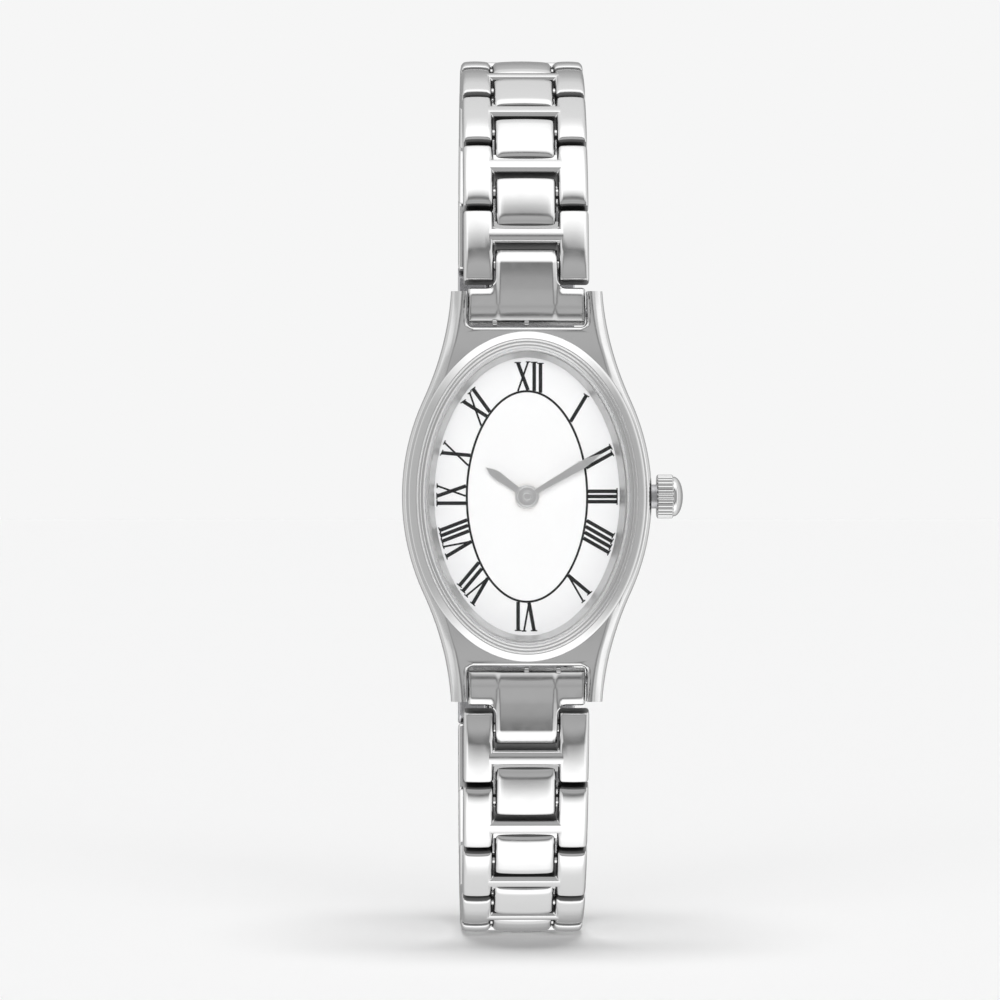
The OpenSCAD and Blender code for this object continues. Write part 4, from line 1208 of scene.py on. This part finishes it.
bpy.ops.mesh.primitive_uv_sphere_add(segments=48, ring_count=24, radius=TENT_R, location=(0, 0, 0))
tent = bpy.context.object
tent.name = "light_tent"
cloth, tree, shader = finish("cloth of the light tent", Base_Color=colour("#000000"),
                             Roughness=1.0, Specular_IOR_Level=0.0, Emission_Strength=GLOW)
where = add(tree, "ShaderNodeTexCoord")
to = add(tree, "ShaderNodeVectorMath", {"operation": "NORMALIZE"}, _0=(where, "Object"))
way = add(tree, "ShaderNodeSeparateXYZ", Vector=(to, "Vector"))
angle = maths(tree, "ARCCOSINE", maths(tree, "MULTIPLY", (way, "Y"), -1.0))
angle = maths(tree, "DIVIDE", angle, pi)
tall, wide = (maths(tree, "ABSOLUTE", (way, axis)) for axis in "ZX")
lean = maths(tree, "ARCTAN2", tall, wide)
upright = blend_from(tree, lean, radians(25), radians(60))
to_right = blend_from(tree, (way, "X"), -0.05, 0.05)
above, left, right = (glow_ramp(tree, angle, stops) for stops in (ABOVE, LEFT, RIGHT))
sides = mixed_by(tree, to_right, left, right)
feed(tree, mixed_by(tree, upright, sides, above), shader.inputs["Emission Color"])
tent.data.materials.append(cloth)
tent.visible_camera = tent.visible_diffuse = False
tent.visible_shadow = tent.visible_transmission = False
print("light tent:", TENT_R, "m, brightest glow", GLOW)

# %% [markdown]
# Two soft suns light the matt surfaces and cast the shadow on the floor: one before the watch and
# one above it. The world adds a weak, even light. To the camera it shows the same pale grey as
# the floor.

# %% Lamps and world


def sun(name, strength, azimuth, elevation, spread):
    """A soft sun: azimuth from the front, elevation above the floor."""
    light = bpy.data.lights.new(name, "SUN")
    light.energy, light.angle = strength, radians(spread)
    lamp = bpy.data.objects.new(name, light)
    a, e = radians(azimuth), radians(elevation)
    way = Vector((sin(a) * cos(e), -cos(a) * cos(e), sin(e)))
    lamp.rotation_euler = way.to_track_quat("Z", "Y").to_euler()
    lamp.visible_glossy = False
    bpy.context.scene.collection.objects.link(lamp)


sun("soft_key", 2.0, 0, 15, 50)
sun("soft_top", 1.97, 178, 88, 36)

world = bpy.data.worlds.new("studio")
bpy.context.scene.world = world
world.use_nodes = True
tree = world.node_tree
tree.nodes.clear()
path = add(tree, "ShaderNodeLightPath")
seen = maths(tree, "MAXIMUM", (path, "Is Camera Ray"), (path, "Is Transmission Ray"))
seen = maths(tree, "MAXIMUM", seen, (path, "Is Glossy Ray"))
light = add(tree, "ShaderNodeBackground", Color=colour("#FFFFFF"), Strength=0.2)
plain = add(tree, "ShaderNodeBackground", Color=colour(PALE), Strength=1.0)
mix = add(tree, "ShaderNodeMixShader", _0=seen, _1=(light, "Background"), _2=(plain, "Background"))
add(tree, "ShaderNodeOutputWorld", Surface=(mix, "Shader"))
print("suns:", len(bpy.data.lights))

# %% [markdown]
# The camera stands level with the middle of the watch, a little to its left, and looks along a
# long lens. The dial's centre falls just right of the picture's middle.

# %% Camera
DISTANCE, AZIMUTH, PICTURE_MM, SENSOR = 0.5255, -1.25, 83.2, 36
dial_centre = Vector((0, BACK_Y - FACE_Z, 0)) * MM
back = Vector((sin(radians(AZIMUTH)), -cos(radians(AZIMUTH)), 0))
camera = bpy.data.cameras.new("camera")
camera.sensor_width = SENSOR
camera.lens = SENSOR * DISTANCE / (PICTURE_MM * MM)
camera.shift_x, camera.shift_y = -0.027, -0.0035
holder = bpy.data.objects.new("camera", camera)
holder.location = dial_centre + back * DISTANCE
holder.rotation_euler = back.to_track_quat("Z", "Y").to_euler()
bpy.context.scene.collection.objects.link(holder)
bpy.context.scene.camera = holder
bpy.context.scene.view_settings.view_transform = "Standard"
print("lens", round(camera.lens, 1), "mm")
